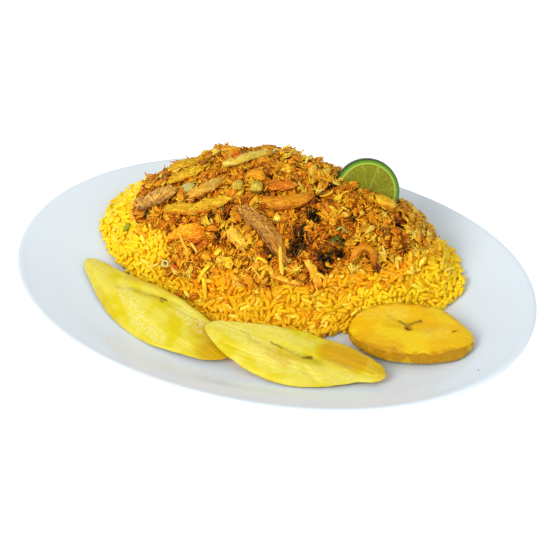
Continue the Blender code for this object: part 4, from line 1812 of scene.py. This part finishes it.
@dataclass(frozen=True)
class Bit:
    """One small thing that shows on its own: half width, half height, lifts and a path of x, y, x, y."""

    tint: Tint
    half_width: float
    half_height: float
    lift: float
    path: tuple[float, ...]
    end_lift: float = 0.0

    def line(self, ground: Ground, count: int = 15) -> Rows:
        """The smooth line that the bit follows over what lies under it.

        Args:
            ground: What lies under it.
            count: How many places the line gets.

        Returns:
            The line's places.
        """
        stops = np.array([tuple(ground.drop(x, y)[0]) for x, y in zip(self.path[::2], self.path[1::2])])
        stops[:, 2] += MM * np.linspace(self.lift, max(self.end_lift, self.lift), len(stops))
        padded = np.vstack([2 * stops[0] - stops[1], stops, 2 * stops[-1] - stops[-2]])
        when = np.linspace(0.0, len(stops) - 1 - 1e-6, count)
        first = when.astype(int)
        part = (when - first)[:, None]
        before, start, end, after = (padded[first + n] for n in range(4))
        bend = 2 * before - 5 * start + 4 * end - after
        twist = 3 * start - before - 3 * end + after
        return 0.5 * (2 * start + (end - before) * part + bend * part**2 + twist * part**3)


@dataclass(frozen=True)
class Ring:
    """One small ring, cut from a vegetable: its middle, radius, thickness and lift."""

    tint: Tint
    x: float
    y: float
    radius: float
    half_width: float
    lift: float = 0.6
    lean: float = 0.5

    @property
    def half_height(self) -> float:
        """Half of the ring's thickness, the same every way."""
        return self.half_width

    def line(self, ground: Ground, count: int = 17) -> Rows:
        """The circle that the ring follows, leaning on what lies under it.

        Args:
            ground: What lies under it.
            count: How many places the circle gets.

        Returns:
            The circle's places.
        """
        middle, normal = ground.drop(self.x, self.y)
        tilted = Vector((normal.x, normal.y - self.lean, abs(normal.z) + 0.4)).normalized()
        first = tilted.orthogonal().normalized()
        spokes = [Matrix.Rotation(turn, 3, tilted) @ first for turn in np.linspace(0.0, math.tau, count)]
        raised = middle + tilted * self.lift * MM
        return np.array([tuple(raised + spoke * self.radius * MM) for spoke in spokes])


HERBS = (
    Bit(Tint.LEAF, 3.0, 0.6, 1.2, (42.5, -1.5, 45, -1, 48, 1, 52.5, 1), 0.8),
    Bit(Tint.LEAF_LIGHT, 1.0, 0.3, 1.2, (43, 1, 46.5, 2.5, 50.5, 3), 0.6),
    Bit(Tint.LEAF, 1.2, 0.3, 0.6, (39, -5, 42, -4.5, 45, -6), 0.2),
    Bit(Tint.PEA, 2.3, 2.0, 0.9, (-105, 1.5, -103, 2, -101, 2)),
    Bit(Tint.LEAF, 1.0, 0.5, 0.4, (-84, 27, -82, 28.5)),
    Bit(Tint.LEAF, 0.9, 0.4, 0.5, (-47, 39, -44.5, 38, -42, 38.5)),
    Bit(Tint.LEAF, 0.8, 0.4, 0.5, (16, 44, 18.5, 44.5, 20.5, 43.5)),
)
RINGS = (
    Ring(Tint.BROWN, 71.5, 15, 2.3, 0.8),
    Ring(Tint.ONION, -65, -24, 1.9, 0.8),
    Ring(Tint.BROWN, -81.5, 22, 2.0, 0.9),
    Ring(Tint.ONION, -13.5, 53, 2.0, 0.9, 1.2),
    Ring(Tint.GREY, 24, -12, 3.4, 0.35, 3.6, 0.9),
    Ring(Tint.GREY, 27, -9.5, 2.4, 0.3, 2.8, 0.3),
    Bit(Tint.LEAF, 1.0, 0.6, 0.8, (-66, -24, -64, -24)),
)
SLIVERS = (
    Bit(Tint.CREAM, 1.2, 0.6, 1.4, (-54.5, -15.5, -43, -20.5, -32, -25), 0.6),
    Bit(Tint.STRAW, 0.9, 0.5, 1.2, (-57, -17.5, -52, -20.5, -47.5, -23), 0.4),
    Bit(Tint.YELLOW, 2.0, 0.8, 1.4, (-29.5, -24.5, -28, -21.5, -26.5, -19)),
    Bit(Tint.YELLOW, 1.8, 1.1, 1.2, (-32, -28, -36, -30.5, -39, -32), 0.2),
    Bit(Tint.YELLOW, 1.5, 1.0, 1.0, (-36.5, -30, -34, -33.5, -32.5, -36.5), 0.2),
    Bit(Tint.STRAW, 0.7, 0.6, 1.4, (-10, -26, -6.5, -27.5, -3.5, -27, 1, -28.5, 4, -29.5)),
    Bit(Tint.STRAW, 0.6, 0.5, 1.2, (-9, -27.5, -9.5, -29.5, -8.5, -31, -5.5, -30)),
    Bit(Tint.YELLOW, 1.6, 1.0, 1.2, (-1.5, -23.5, 2, -22.5, 5.5, -21.5)),
    Bit(Tint.CREAM, 1.3, 1.1, 1.5, (-80, -21.5, -75.5, -21, -71, -21)),
    Bit(Tint.STRAW, 1.5, 0.9, 1.0, (13, -20, 14.5, -22.5, 16.5, -26)),
    Bit(Tint.STRAW, 1.2, 0.8, 1.0, (33, -21.5, 38, -20, 43.5, -20.5)),
    Bit(Tint.STRAW, 0.7, 0.6, 0.8, (-10.5, 50.5, -7.5, 52.5, -4, 55), 5.0),
    Bit(Tint.ORANGE, 0.8, 0.6, 0.8, (-4, 62.5, -2.5, 64, -0.5, 65), 3.0),
    Bit(Tint.YELLOW, 0.7, 0.5, 0.6, (-1.5, 62, 0.5, 64.5), 2.5),
    Bit(Tint.CREAM, 0.9, 0.6, 1.0, (72.5, 6, 74, 5.5, 75.5, 4)),
)
CUTS = (
    Bit(Tint.RED, 1.3, 1.0, 1.2, (-60.5, -24, -58, -26.5, -56, -26, -55.5, -28)),
    Bit(Tint.ORANGE, 1.7, 1.4, 0.9, (-85, -13.5, -83, -14)),
    Bit(Tint.ORANGE, 1.6, 1.4, 0.9, (77.5, -6.5, 79.5, -6)),
    Bit(Tint.ORANGE, 1.5, 1.3, 0.9, (-18.5, -37.5, -16.5, -38)),
    Bit(Tint.ORANGE, 1.7, 1.4, 0.9, (36.5, -32.5, 38.5, -32.5)),
    Bit(Tint.ORANGE, 1.3, 1.2, 0.9, (41, -33.5, 43, -33.5)),
    Bit(Tint.BLACK, 1.7, 1.3, 0.8, (77, 27.5, 79.5, 27)),
    Bit(Tint.PLUM, 1.2, 1.0, 0.8, (72, -2.5, 73.5, -3)),
    Bit(Tint.BROWN, 2.0, 1.4, 0.9, (-56.5, 25, -53.5, 26.5)),
    Bit(Tint.RED, 2.2, 0.8, 0.9, (-38, 34, -34.5, 35, -31, 35)),
    Bit(Tint.ORANGE, 2.0, 1.5, 0.9, (-0.5, 38, 2, 38.5)),
    Bit(Tint.ORANGE, 2.1, 1.5, 0.9, (9, 28.5, 11.5, 29.5)),
    Bit(Tint.ORANGE, 1.9, 1.4, 0.9, (12.5, 39.5, 15, 40)),
    Bit(Tint.WHITE, 2.1, 0.9, 1.0, (6, -22.8, 6.2, -24, 6.6, -25.2)),
    Bit(Tint.WHITE, 1.1, 0.9, 0.9, (-18, -17.5, -16.5, -18)),
    Bit(Tint.WHITE, 1.2, 0.9, 0.9, (-12, -19.5, -10.5, -20)),
    Bit(Tint.WHITE, 1.0, 0.8, 0.9, (-9, -16, -7.5, -16.5)),
    Bit(Tint.BLACK, 0.35, 0.25, 0.1, (148, -48.5, 148.6, -48.4)),
)


@dataclass
class SmallBits:
    """Herbs, rings, slivers and crumbs that lie on the crab, on the rice and on the plate."""

    seed: int = 61
    rough: float = 0.06 * MM
    hoop_rings: int = 17
    bare: TintedFinish = TintedFinish("small_bits", roughness=0.36, shine=0.35, dark=0.85, light=1.12)

    def build(self, batch: Batch, shape: Shape, bit: Bit | Ring, ground: Ground) -> None:
        """Lays one rod along its line.

        Args:
            batch: What the rod is added to.
            shape: The rod.
            bit: The bit or the ring.
            ground: What lies under it.
        """
        line = bit.line(ground)
        heading = unit(np.gradient(line, axis=0))
        side = unit(np.cross([0.0, 0.0, 1.0], heading + [1e-5, 0.0, 0.0]))
        rows = np.hstack([line, side, np.cross(heading, side)])
        share = np.clip(shape.points[:, 0] + 0.5, 0.0, 1.0)
        stops = np.linspace(0.0, 1.0, len(line))
        found = np.stack([np.interp(share, stops, column) for column in rows.T], axis=1)
        wide, high = shape.points[:, 1] * bit.half_width * MM, shape.points[:, 2] * bit.half_height * MM
        points = found[:, :3] + along(found[:, 3:6], wide) + along(found[:, 6:9], high)
        rough = batch.dice.normal(0.0, self.rough, points.shape) * min(bit.half_width, bit.half_height)
        batch.append(shape, points + rough, light_of(bit.tint.value))

    def make(self, ground: Ground) -> list[Piece]:
        """Builds and finishes every kind of small bit.

        Args:
            ground: Everything that they may lie on.

        Returns:
            One piece for each kind.
        """
        ends, shoulders, waists = (0.35, 0.3), (0.8, 0.75), (1.0, 0.95)
        rings = (ends, shoulders, waists, (0.95, 1.0), waists, shoulders, ends)
        rod = rod_shape(8, *((at, *ring) for at, ring in zip((-0.5, -0.4, -0.2, 0.0, 0.2, 0.4, 0.5), rings)))
        hoop = rod_shape(6, *((at, 1.0, 1.0) for at in np.linspace(-0.5, 0.5, self.hoop_rings)))
        finish = self.bare.material()
        pieces = []
        kinds = {"herbs": HERBS, "vegetable_rings": RINGS, "slivers": SLIVERS, "small_cuts": CUTS}
        for name, bits in kinds.items():
            batch = Batch(np.random.default_rng(self.seed))
            for bit in bits:
                self.build(batch, rod if isinstance(bit, Bit) else hoop, bit, ground)
            pieces.append(lay_down(batch.join(name), finish, Slot.FLESH))
        return pieces


# ---- plantain


@dataclass(frozen=True)
class PlantainFinish:
    """Fried plantain: a streaked face, golden zones, dark seeds, a tan side, and a painted highlight band
    with painted glints in it.
    """

    name: str
    face: Colour
    pale: Colour
    deep: Colour
    wall: Colour
    # Strength and colour of the painted glints inside the painted highlight band.
    sheen: float = 0.35
    sheen_colour: Colour = (226, 216, 150)
    rim: Colour = (168, 96, 20)
    seed: Colour = (96, 58, 22)

    def material(self) -> Material:
        """Makes the material.

        Returns:
            The material.
        """
        made = Recipe(self.name)
        streak = made.fibres((45.0, 650.0, 650.0), 4.0, 0.6)
        grain = made.noise(1.6 * MM, 4.0, 0.5)
        # Painted glints: specks of sheen colour where the bright marks lie.
        glints = made.maths("MULTIPLY", made.attribute("pale"), made.span(grain, 0.46, 0.62, 0.0, self.sheen))
        wall = made.layers(
            self.wall,
            (made.span(grain, 0.38, 0.66, 0.0, 0.4), self.deep),
            (made.span(made.noise(9 * MM, 2.0), 0.5, 0.7, 0.0, 0.6), self.pale),
        )
        colour = made.layers(
            self.face,
            (made.span(made.noise(14 * MM), 0.4, 0.62), self.pale),
            # Painted highlight: the pale colour where the bright marks lie.
            (made.attribute("pale"), self.pale),
            (made.span(streak, 0.5, 0.75, 0.0, 0.18), self.deep),
            (made.attribute("deep"), self.deep),
            (glints, self.sheen_colour),
            (made.attribute("wall"), wall),
            (made.attribute("rim"), self.rim),
            (made.attribute("dark"), self.seed),
        )
        roughness = made.span(grain, 0.3, 0.7, 0.2, 0.36)
        relief = made.bump((streak, 0.3 * MM), (grain, 0.22 * MM))
        made.set(Base_Color=colour, Roughness=roughness, Normal=relief)
        made.shine(0.3, (1.0, 0.85, 0.3))
        made.flesh(0.3, (1.0, 0.8, 0.2), 3.0 * MM)
        return made.material


@dataclass(frozen=True)
class Mark:
    """A stroke on a cut face: its ends (x, y, x, y), half width, darkness and depth."""

    x: float
    y: float
    end_x: float
    end_y: float
    half_width: float
    dark: float
    sunk: float = 0.0

    def strength(self, places: Rows) -> Rows:
        """How strongly the stroke shows at each place, 0 to 1.

        Args:
            places: The places, in metres.

        Returns:
            One number each.
        """
        start, end = np.array((self.x, self.y)) * MM, np.array((self.end_x, self.end_y)) * MM
        run = end - start
        share = np.clip(((places[:, :2] - start) @ run) / max(run @ run, 1e-12), 0.0, 1.0)
        away = np.linalg.norm(places[:, :2] - start - share[:, None] * run, axis=1) / (self.half_width * MM)
        return 1.0 - smooth_step(away, 0.5, 1.5)


Corners = tuple[tuple[float, float], ...]
THIN_CUT: Corners = ((1.0, 0.9), (-0.3, 1.0), (-1.05, -0.35), (-0.75, -1.0), (0.6, -1.0))
THICK_BASE: Corners = ((-1.05, -0.4), (-0.8, -1.0), (0.8, -1.0), (1.05, -0.4))
THICK_CUT: Corners = ((1.0, 1.0), (-1.0, 1.0), *THICK_BASE)
THICK_END: Corners = ((0.6, 1.0), (-0.6, 1.0), *THICK_BASE)


@dataclass(frozen=True)
class Slice:
    """One slice of plantain: its node, finish, section, rim and what shows on its face.

    The section's first corner is the face's rear edge, and corner number front is its front edge.
    """

    node: str
    finish: PlantainFinish
    seeds: tuple[Mark, ...]
    golden: tuple[Mark, ...]
    # Strokes of painted highlight, where the glossy face catches the lamp.
    bright: tuple[Mark, ...]
    folds: tuple[Mark, ...]
    corners: Corners = THIN_CUT
    end_corners: Corners = THIN_CUT
    front: int = 2
    sharpness: float = 9.0
    rim: float = 0.1

    def edge_turn(self, corner: int) -> float:
        """Direction of a corner of the section, turned from the top."""
        return math.atan2(abs(self.corners[corner][0]), self.corners[corner][1])


SLICES = (
    Slice(
        "plantain_left",
        PlantainFinish("plantain_lemon", (208, 190, 18), (216, 202, 72), (194, 152, 8), (176, 142, 8), 0.8),
        seeds=(
            Mark(-80.5, -46.1, -66.3, -49.6, 1.3, 0.22, 0.5),
            Mark(-66.3, -49.6, -54.7, -50.8, 1.0, 0.42, 0.5),
            Mark(-54.7, -50.8, -43.1, -52.6, 0.8, 0.22, 0.3),
            Mark(-58.0, -50.2, -52.5, -51.7, 0.45, 1.0),
            Mark(-57.2, -52.4, -54.5, -52.8, 0.4, 0.8),
            Mark(-85.0, -34.9, -81.5, -35.4, 0.5, 0.9),
            Mark(-95.0, -36.0, -84.0, -41.0, 0.5, 0.12),
        ),
        golden=(
            Mark(-84.0, -36.0, -52.0, -43.0, 5.0, 0.55),
            Mark(-10.0, -80.0, 0.0, -84.0, 12.0, 0.95),
            Mark(-26.0, -66.0, -10.0, -72.0, 7.0, 0.5),
            Mark(-104.0, -48.0, -72.0, -82.0, 3.0, 0.35),
        ),
        bright=(
            Mark(-84.0, -49.0, -66.0, -68.0, 4.5, 0.85),
            Mark(-66.0, -68.0, -47.0, -79.0, 3.5, 0.8),
            Mark(-40.0, -56.0, -22.0, -64.0, 5.0, 0.9),
            Mark(-118.0, -28.0, -104.0, -36.0, 5.0, 0.4),
        ),
        folds=(Mark(-90.0, -44.0, -30.0, -56.0, 3.0, 0.0, 0.8),),
    ),
    Slice(
        "plantain_middle",
        PlantainFinish("plantain_butter", (206, 188, 24), (214, 200, 76), (200, 148, 4), (186, 156, 12)),
        seeds=(
            Mark(23.0, -68.4, 31.0, -70.4, 0.55, 0.75, 0.2),
            Mark(31.0, -70.4, 46.0, -73.2, 0.6, 0.35, 0.4),
            Mark(45.0, -73.0, 49.5, -71.8, 0.85, 1.0, 0.2),
            Mark(38.0, -71.5, 56.0, -74.0, 1.8, 0.22, 0.3),
            Mark(2.0, -66.0, 9.5, -67.8, 0.4, 0.4),
            Mark(8.0, -69.4, 18.0, -71.4, 0.35, 0.2),
        ),
        golden=(
            Mark(60.0, -63.5, 78.0, -65.0, 7.5, 0.9),
            Mark(80.0, -64.5, 96.0, -66.0, 7.0, 0.55),
            Mark(26.0, -75.0, 36.0, -78.0, 4.0, 0.4),
        ),
        bright=(
            Mark(-14.0, -60.0, 22.0, -76.0, 6.0, 0.85),
            Mark(0.0, -58.0, 32.0, -62.0, 4.0, 0.8),
            Mark(30.0, -82.0, 80.0, -79.0, 4.5, 0.85),
        ),
        folds=(
            Mark(12.0, -68.0, 60.0, -75.0, 3.5, 0.0, 0.9),
            Mark(56.0, -68.0, 88.0, -72.0, 2.5, 0.0, 0.8),
            Mark(48.0, -80.0, 58.0, -86.0, 1.6, 0.0, 0.7),
        ),
    ),
    Slice(
        "plantain_right",
        PlantainFinish("plantain_gold", (226, 178, 14), (228, 194, 28), (204, 146, 10), (172, 124, 18)),
        seeds=(
            Mark(92.6, -25.2, 99.5, -27.6, 0.8, 0.75, 0.5),
            Mark(105.9, -21.8, 100.0, -26.0, 0.8, 0.75, 0.4),
            Mark(105.3, -22.2, 106.4, -21.5, 1.0, 1.0, 0.3),
            Mark(98.6, -29.7, 101.6, -30.3, 1.1, 1.0, 0.7),
            Mark(99.6, -26.8, 100.4, -30.0, 2.2, 0.5, 0.6),
            Mark(85.0, -22.6, 89.5, -24.4, 1.3, 0.16, 0.1),
            Mark(127.5, -25.5, 129.0, -24.0, 0.7, 0.8),
        ),
        golden=(Mark(88.0, -28.0, 114.0, -26.0, 5.0, 0.3), Mark(72.0, -44.0, 96.0, -46.0, 5.0, 0.4)),
        bright=(Mark(74.0, -22.0, 92.0, -18.0, 6.0, 0.6), Mark(112.0, -32.0, 122.0, -28.0, 4.0, 0.5)),
        folds=(Mark(90.0, -25.0, 110.0, -25.0, 5.0, 0.0, 0.5),),
        corners=THICK_CUT,
        end_corners=THICK_END,
        front=1,
        sharpness=20.0,
        rim=0.6,
    ),
)


@dataclass
class PlantainSet:
    """Three slices of fried plantain along the front."""

    seed: int = 41
    swell: float = 0.25 * MM
    wave: float = 0.55 * MM
    fibre: float = 0.28 * MM
    stations: int = 17

    @staticmethod
    def reach(turn: Rows, corners: Corners, sharpness: float) -> Rows:
        """How far a section with straight sides reaches in each direction.

        Args:
            turn: Directions from the middle of the section.
            corners: The section's corners, across and upwards.
            sharpness: Higher for crisper corners.

        Returns:
            One reach for each direction.
        """
        towards = np.stack([np.cos(turn), np.sin(turn)], axis=1)
        total = np.zeros(len(turn))
        for start, end in zip(corners, (*corners[1:], corners[0])):
            across, high = end[0] - start[0], end[1] - start[1]
            away = (high * start[0] - across * start[1]) / math.hypot(across, high)
            normal = np.array((high, -across)) / math.hypot(across, high) * np.sign(away)
            total += (np.maximum(towards @ normal, 0.0) / abs(away)) ** sharpness
        return total ** (-1.0 / sharpness)

    def build(self, one: Slice, dice: Dice) -> Piece:
        """Refines one packed slice: a cut face with a rim, seeds, folds and streaks.

        Args:
            one: The slice.
            dice: Where chance comes from.

        Returns:
            The refined slice.
        """
        piece = copy_of_node(one.node, f"{one.node}_fried")
        apply_modifier(piece, "SUBSURF", levels=3, render_levels=3)
        points, outward = rows_of(piece), rows_of(piece, "normal")
        rows, share, offset = Spine(points, self.stations).local(points)
        turn = np.arctan2(offset[:, 1], offset[:, 0])
        was = (np.abs(np.cos(turn)) ** 3 + np.abs(np.sin(turn)) ** 3) ** (-1.0 / 3.0)
        ended = smooth_step(share, 0.72, 0.98)
        now = self.reach(turn, one.corners, one.sharpness) * (1.0 - ended)
        grown = (now + self.reach(turn, one.end_corners, one.sharpness) * ended) / was
        moved = (grown - 1.0)[:, None] * offset * rows[:, 9:11]
        points = points + along(rows[:, 3:6], moved[:, 0]) + along(rows[:, 6:9], moved[:, 1])
        offset = along(offset, grown)
        edges = np.where(offset[:, 0] < 0.0, one.edge_turn(one.front), one.edge_turn(0))
        seed = dice.uniform(0.0, 50.0)
        follow = np.column_stack([share * np.ptp(points[:, 0]), offset * rows[:, 9:11]])
        fibre = lumps(follow * [0.05, 1.0, 0.4], 1.3 * MM, seed)
        wave = lumps(points, 13.0 * MM, seed + 2.0) + 0.4 * lumps(points, 5.0 * MM, seed + 4.0)
        below = np.arctan2(np.abs(offset[:, 0]), offset[:, 1]) - edges + 0.05 * wave
        wall = smooth_step(below, -0.02, 0.1)
        sunk = sum(mark.sunk * MM * mark.strength(points) for mark in (*one.seeds, *one.folds))
        upper = 1.0 - smooth_step(below, -0.25, -0.05)
        shift = self.swell + self.wave * wave + self.fibre * fibre * (1.0 - 0.5 * wall)
        place_points(piece, points + along(outward, shift) - along(rows[:, 6:9], sunk * upper))
        edge = smooth_step(0.09 - np.abs(below), 0.0, 0.06)
        broken = smooth_step(lumps(follow, 5.0 * MM, seed + 6.0), -0.25, 0.25)
        write_numbers(piece, follow=follow, wall=wall, rim=one.rim * edge * broken)
        # The bright marks paint the highlight, which the material reads as pale.
        for name, marks in (("dark", one.seeds), ("deep", one.golden), ("pale", one.bright)):
            shown = [mark.dark * mark.strength(points + MM * 0.5 * wave[:, None]) for mark in marks]
            write_numbers(piece, **{name: np.max(shown, axis=0) * (1.0 - wall)})
        return piece

    def make(self) -> list[Piece]:
        """Builds and finishes the slices.

        Returns:
            The slices.
        """
        dice = np.random.default_rng(self.seed)
        built = [(self.build(one, dice), one) for one in SLICES]
        return [lay_down(piece, one.finish.material(), Slot.PLANTAIN, one.node) for piece, one in built]


# ---- lime


@dataclass(frozen=True)
class LimeFinish:
    """Juicy segments between pale skins, a bright ring of pith and a dark, oily rind."""

    juice: Colour = (136, 136, 16)
    juice_deep: Colour = (112, 108, 18)
    skin: Colour = (160, 162, 52)
    pith: Colour = (160, 184, 72)
    zest: Colour = (88, 138, 26)
    rind: Colour = (44, 84, 20)
    rind_deep: Colour = (24, 52, 14)

    def material(self) -> Material:
        """Makes the material.

        Returns:
            The material.
        """
        made = Recipe("lime")
        ring = made.attribute("ring")
        cell = made.fibres((420.0, 1500.0, 420.0), 3.0, 0.4)
        peel = made.mix(made.span(made.noise(1.2 * MM), 0.35, 0.65), self.rind, self.rind_deep)
        colour = made.layers(
            self.juice_deep,
            (made.span(cell, 0.35, 0.65), self.juice),
            (made.span(made.noise(6 * MM, 2.0), 0.45, 0.7, 0.0, 0.7), self.juice_deep),
            (made.attribute("skin"), self.skin),
            (made.span(ring, 0.80, 0.83), self.pith),
            (made.span(ring, 0.84, 0.88), self.zest),
            (made.span(ring, 0.905, 0.93), self.rind),
            (made.attribute("peel"), peel),
        )
        inputs = {"Vector": made.object_places, "Scale": 1.0 / (1.1 * MM)}
        pores = made.node("TexVoronoi", "Distance", inputs, feature="F1")
        made.set(
            Base_Color=colour,
            Roughness=made.span(cell, 0.3, 0.7, 0.22, 0.36),
            Normal=made.bump((cell, 0.25 * MM), (pores, 0.12 * MM)),
        )
        made.shine(0.2, (0.9, 1.0, 0.6))
        made.flesh(0.3, (0.7, 1.0, 0.2), 3.0 * MM)
        return made.material


@dataclass
class LimeSlice:
    """The thick slice of lime that leans in the crab. Its skins are directions in degrees with strengths."""

    facing: float = 20.0
    lean: float = 34.0
    thickness: float = 11.0 * MM
    steps: int = 144
    face_rings: int = 26
    peel_rings: int = 14
    peel_turn: float = math.radians(66.0)
    bulge: float = 0.12
    skins: tuple[tuple[float, float], ...] = (
        (5, 0.6), (63, 1.0), (99, 0.6), (140, 0.45), (182, 0.5),
        (222, 0.6), (262, 0.6), (300, 0.6), (336, 0.6),
    )
    finish: LimeFinish = LimeFinish()
    box: tuple[Vector, Vector] = field(default_factory=lambda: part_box("lime_slice"))

    def turn(self) -> Matrix:
        """Turns the slice from lying flat to where it stands.

        Returns:
            The turn and the move.
        """
        facing = Matrix.Rotation(math.radians(self.facing), 4, "Z")
        lean = Matrix.Rotation(math.radians(90.0 - self.lean), 4, "X")
        return Matrix.Translation((self.box[0] + self.box[1]) / 2) @ facing @ lean

    def radius(self) -> float:
        """The slice's radius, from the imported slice."""
        places = rows_of(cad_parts["lime_slice"]) - np.array((self.box[0] + self.box[1]) / 2)
        return float(np.hypot(*(places @ np.array(self.turn())[:3, :2]).T).max())

    def section(self, radius: float) -> list[tuple[float, float]]:
        """The slice's section, from the middle of one cut to the middle of the other.

        Args:
            radius: The slice's radius.

        Returns:
            Radius and height of each ring.
        """
        half = self.thickness / 2
        face = [(radius * (0.03 + 0.89 * n / self.face_rings), half) for n in range(self.face_rings + 1)]
        peel = []
        for step in range(1, self.peel_rings):
            turn = self.peel_turn * (1.0 - 2.0 * step / self.peel_rings)
            out = radius * (1.0 - self.bulge * (1.0 - math.cos(turn)))
            peel.append((out, half * math.sin(turn) / math.sin(self.peel_turn)))
        return face + peel + [(out, -high) for out, high in reversed(face)]

    def build(self) -> Piece:
        """Draws the slice out, and shapes segments, pith and pores.

        Returns:
            The slice.
        """
        radius, half = self.radius(), self.thickness / 2
        piece = turn_out("lime_cut", self.steps, self.section(radius))
        points = rows_of(piece)
        out = np.hypot(points[:, 0], points[:, 1])
        ring = out / radius
        degrees = np.degrees(np.arctan2(points[:, 1], points[:, 0])) + 3.0 * np.sin(40.0 * ring)
        skins = np.array(self.skins)
        apart = np.abs((degrees - skins[:, :1] + 180.0) % 360.0 - 180.0)
        off_skin = np.radians(apart.min(axis=0)) * out
        width = 0.3 * MM + 0.4 * MM * smooth_step(ring, 0.55, 0.8)
        skin = skins[apart.argmin(axis=0), 1] * (1.0 - smooth_step(off_skin / width, 0.5, 1.6))
        skin = np.maximum(skin, 1.0 - smooth_step(ring, 0.03, 0.09))
        cut = smooth_step(np.abs(points[:, 2]), 0.9 * half, 0.999 * half) * (ring < 0.935)
        flesh = cut * (1.0 - smooth_step(ring, 0.79, 0.84))
        swell = MM * (0.5 * (1.0 - skin) - 0.15 + 0.12 * lumps(points, 1.8 * MM, 2.0))
        points[:, 2] += np.sign(points[:, 2]) * flesh * swell
        pores = (1.0 - cut) * 0.1 * MM * lumps(points, 1.1 * MM, 6.0)
        points[:, :2] *= (1.0 + pores / radius)[:, None]
        peel = (1.0 - cut) * smooth_step(ring, 0.90, 0.94)
        follow = np.stack([out, off_skin, points[:, 2]], axis=1)
        write_numbers(piece, ring=ring * cut, skin=skin * flesh, peel=peel, follow=follow)
        place_points(piece, np.array([self.turn() @ Vector(point) for point in points]))
        return piece

    def make(self) -> Piece:
        """Builds and finishes the slice."""
        return lay_down(self.build(), self.finish.material(), Slot.LIME, "lime_slice")


# ---- studio


@dataclass
class Studio:
    """White floor, soft lamps and the camera."""

    azimuth: float = math.radians(18.5)
    elevation: float = math.radians(41.3)
    distance: float = 0.808
    lens: float = 77.98
    aim_right: float = 4.2 * MM
    aim_up: float = 10.5 * MM
    floor_size: float = 8.0
    lit_place: Vector = field(default_factory=lambda: Vector((0.0, 0.02, 0.03)))

    def floor(self) -> None:
        """Lays a wide white floor under the plate."""
        ground = add("plane", "studio_floor", size=self.floor_size, location=(0.0, 0.0, -0.5 * MM))
        paper = Recipe("white_paper")
        base = paper.mix(paper.noise(0.5, 2.0), (0.93, 0.93, 0.93), (0.95, 0.95, 0.95))
        paper.set(Base_Color=base, Roughness=0.9, Emission_Color=(1.0, 1.0, 1.0), Emission_Strength=0.45)
        ground.data.materials.append(paper.material)

    @staticmethod
    def hang(name: str, data: bpy.types.ID, place: Vector, aim: Vector) -> Piece:
        """Hangs a lamp or a camera so that it looks at a place.

        Args:
            name: Its name.
            data: The lamp or the camera.
            place: Where it hangs.
            aim: What it looks at.

        Returns:
            The lamp or the camera.
        """
        made = linked(name, data)
        made.location = place
        made.rotation_mode = "QUATERNION"
        made.rotation_quaternion = (aim - made.location).to_track_quat("-Z", "Y")
        return made

    def lamp(self, name: str, place: Sequence[float], size: float, power: float, colour: Colour) -> None:
        """Hangs one square lamp that faces the food.

        Args:
            name: The lamp's name.
            place: Where it hangs.
            size: Its side.
            power: Its power in watts.
            colour: Its colour.
        """
        data = bpy.data.lights.new(name, "AREA")
        data.shape = "SQUARE"
        data.size, data.energy, data.color = size, power, colour
        self.hang(name, data, Vector(place), self.lit_place)

    def lights(self) -> None:
        """A large key lamp from the upper left, a weak fill from the right and a pale surround."""
        self.lamp("key_lamp", (-0.42, -0.85, 0.82), 0.6, 10.8, (1.0, 0.99, 0.97))
        self.lamp("fill_lamp", (0.85, -0.65, 0.6), 0.9, 3.0, (0.97, 0.99, 1.0))
        world = bpy.data.worlds.new("pale_surround")
        world.use_nodes = True
        sky = world.node_tree.nodes["Background"]
        sky.inputs["Color"].default_value = (0.96, 0.98, 1.0, 1.0)
        sky.inputs["Strength"].default_value = 0.68
        bpy.context.scene.world = world

    def camera(self) -> None:
        """Sets the camera at the view's angle and distance."""
        right = Vector((math.cos(self.azimuth), math.sin(self.azimuth), 0.0))
        level = Vector((right.y, -right.x, 0.0))
        back = level * math.cos(self.elevation) + Vector((0.0, 0.0, math.sin(self.elevation)))
        data = bpy.data.cameras.new("camera")
        data.lens, data.sensor_width = self.lens, 36.0
        aim = right * self.aim_right + back.cross(right) * self.aim_up
        bpy.context.scene.camera = self.hang("camera", data, back * self.distance, aim)

    def build(self) -> None:
        """Sets up the whole studio."""
        self.floor()
        self.lights()
        self.camera()
        bpy.context.scene.view_settings.view_transform = "Standard"
        LOG.info("studio: floor, lamps and camera")


# ---- the whole plate


def main() -> None:
    """Makes every piece in order."""
    logging.basicConfig(level=logging.INFO, format="%(message)s")
    oval = OvalPlate()
    plate = oval.dress(oval.build())
    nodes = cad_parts
    resting = sorted(name for name in nodes if name.startswith(("crab_", "pepper_", "onion_")))
    resting.remove("crab_topping")
    strips = Ground(nodes[name] for name in [*resting, *(one.node for one in SLICES), "lime_slice"])
    rice, crab = RiceHeap(), CrabTopping()
    rice_core, crab_core = rice.build_core(), crab.build_core()
    grains = rice.build_grains(rice_core, Ground([plate]), Ground([crab_core]), strips)
    rice.dress(rice_core, grains)
    loose = crab.build_loose(crab_core, Ground([rice_core]), strips)
    crab.dress(crab_core, loose)
    flesh = StripSet().make()
    PlantainSet().make()
    LimeSlice().make()
    SmallBits().make(Ground([plate, rice_core, crab_core, *grains, *loose[:3], *flesh]))
    Studio().build()


if __name__ == "__main__":
    main()
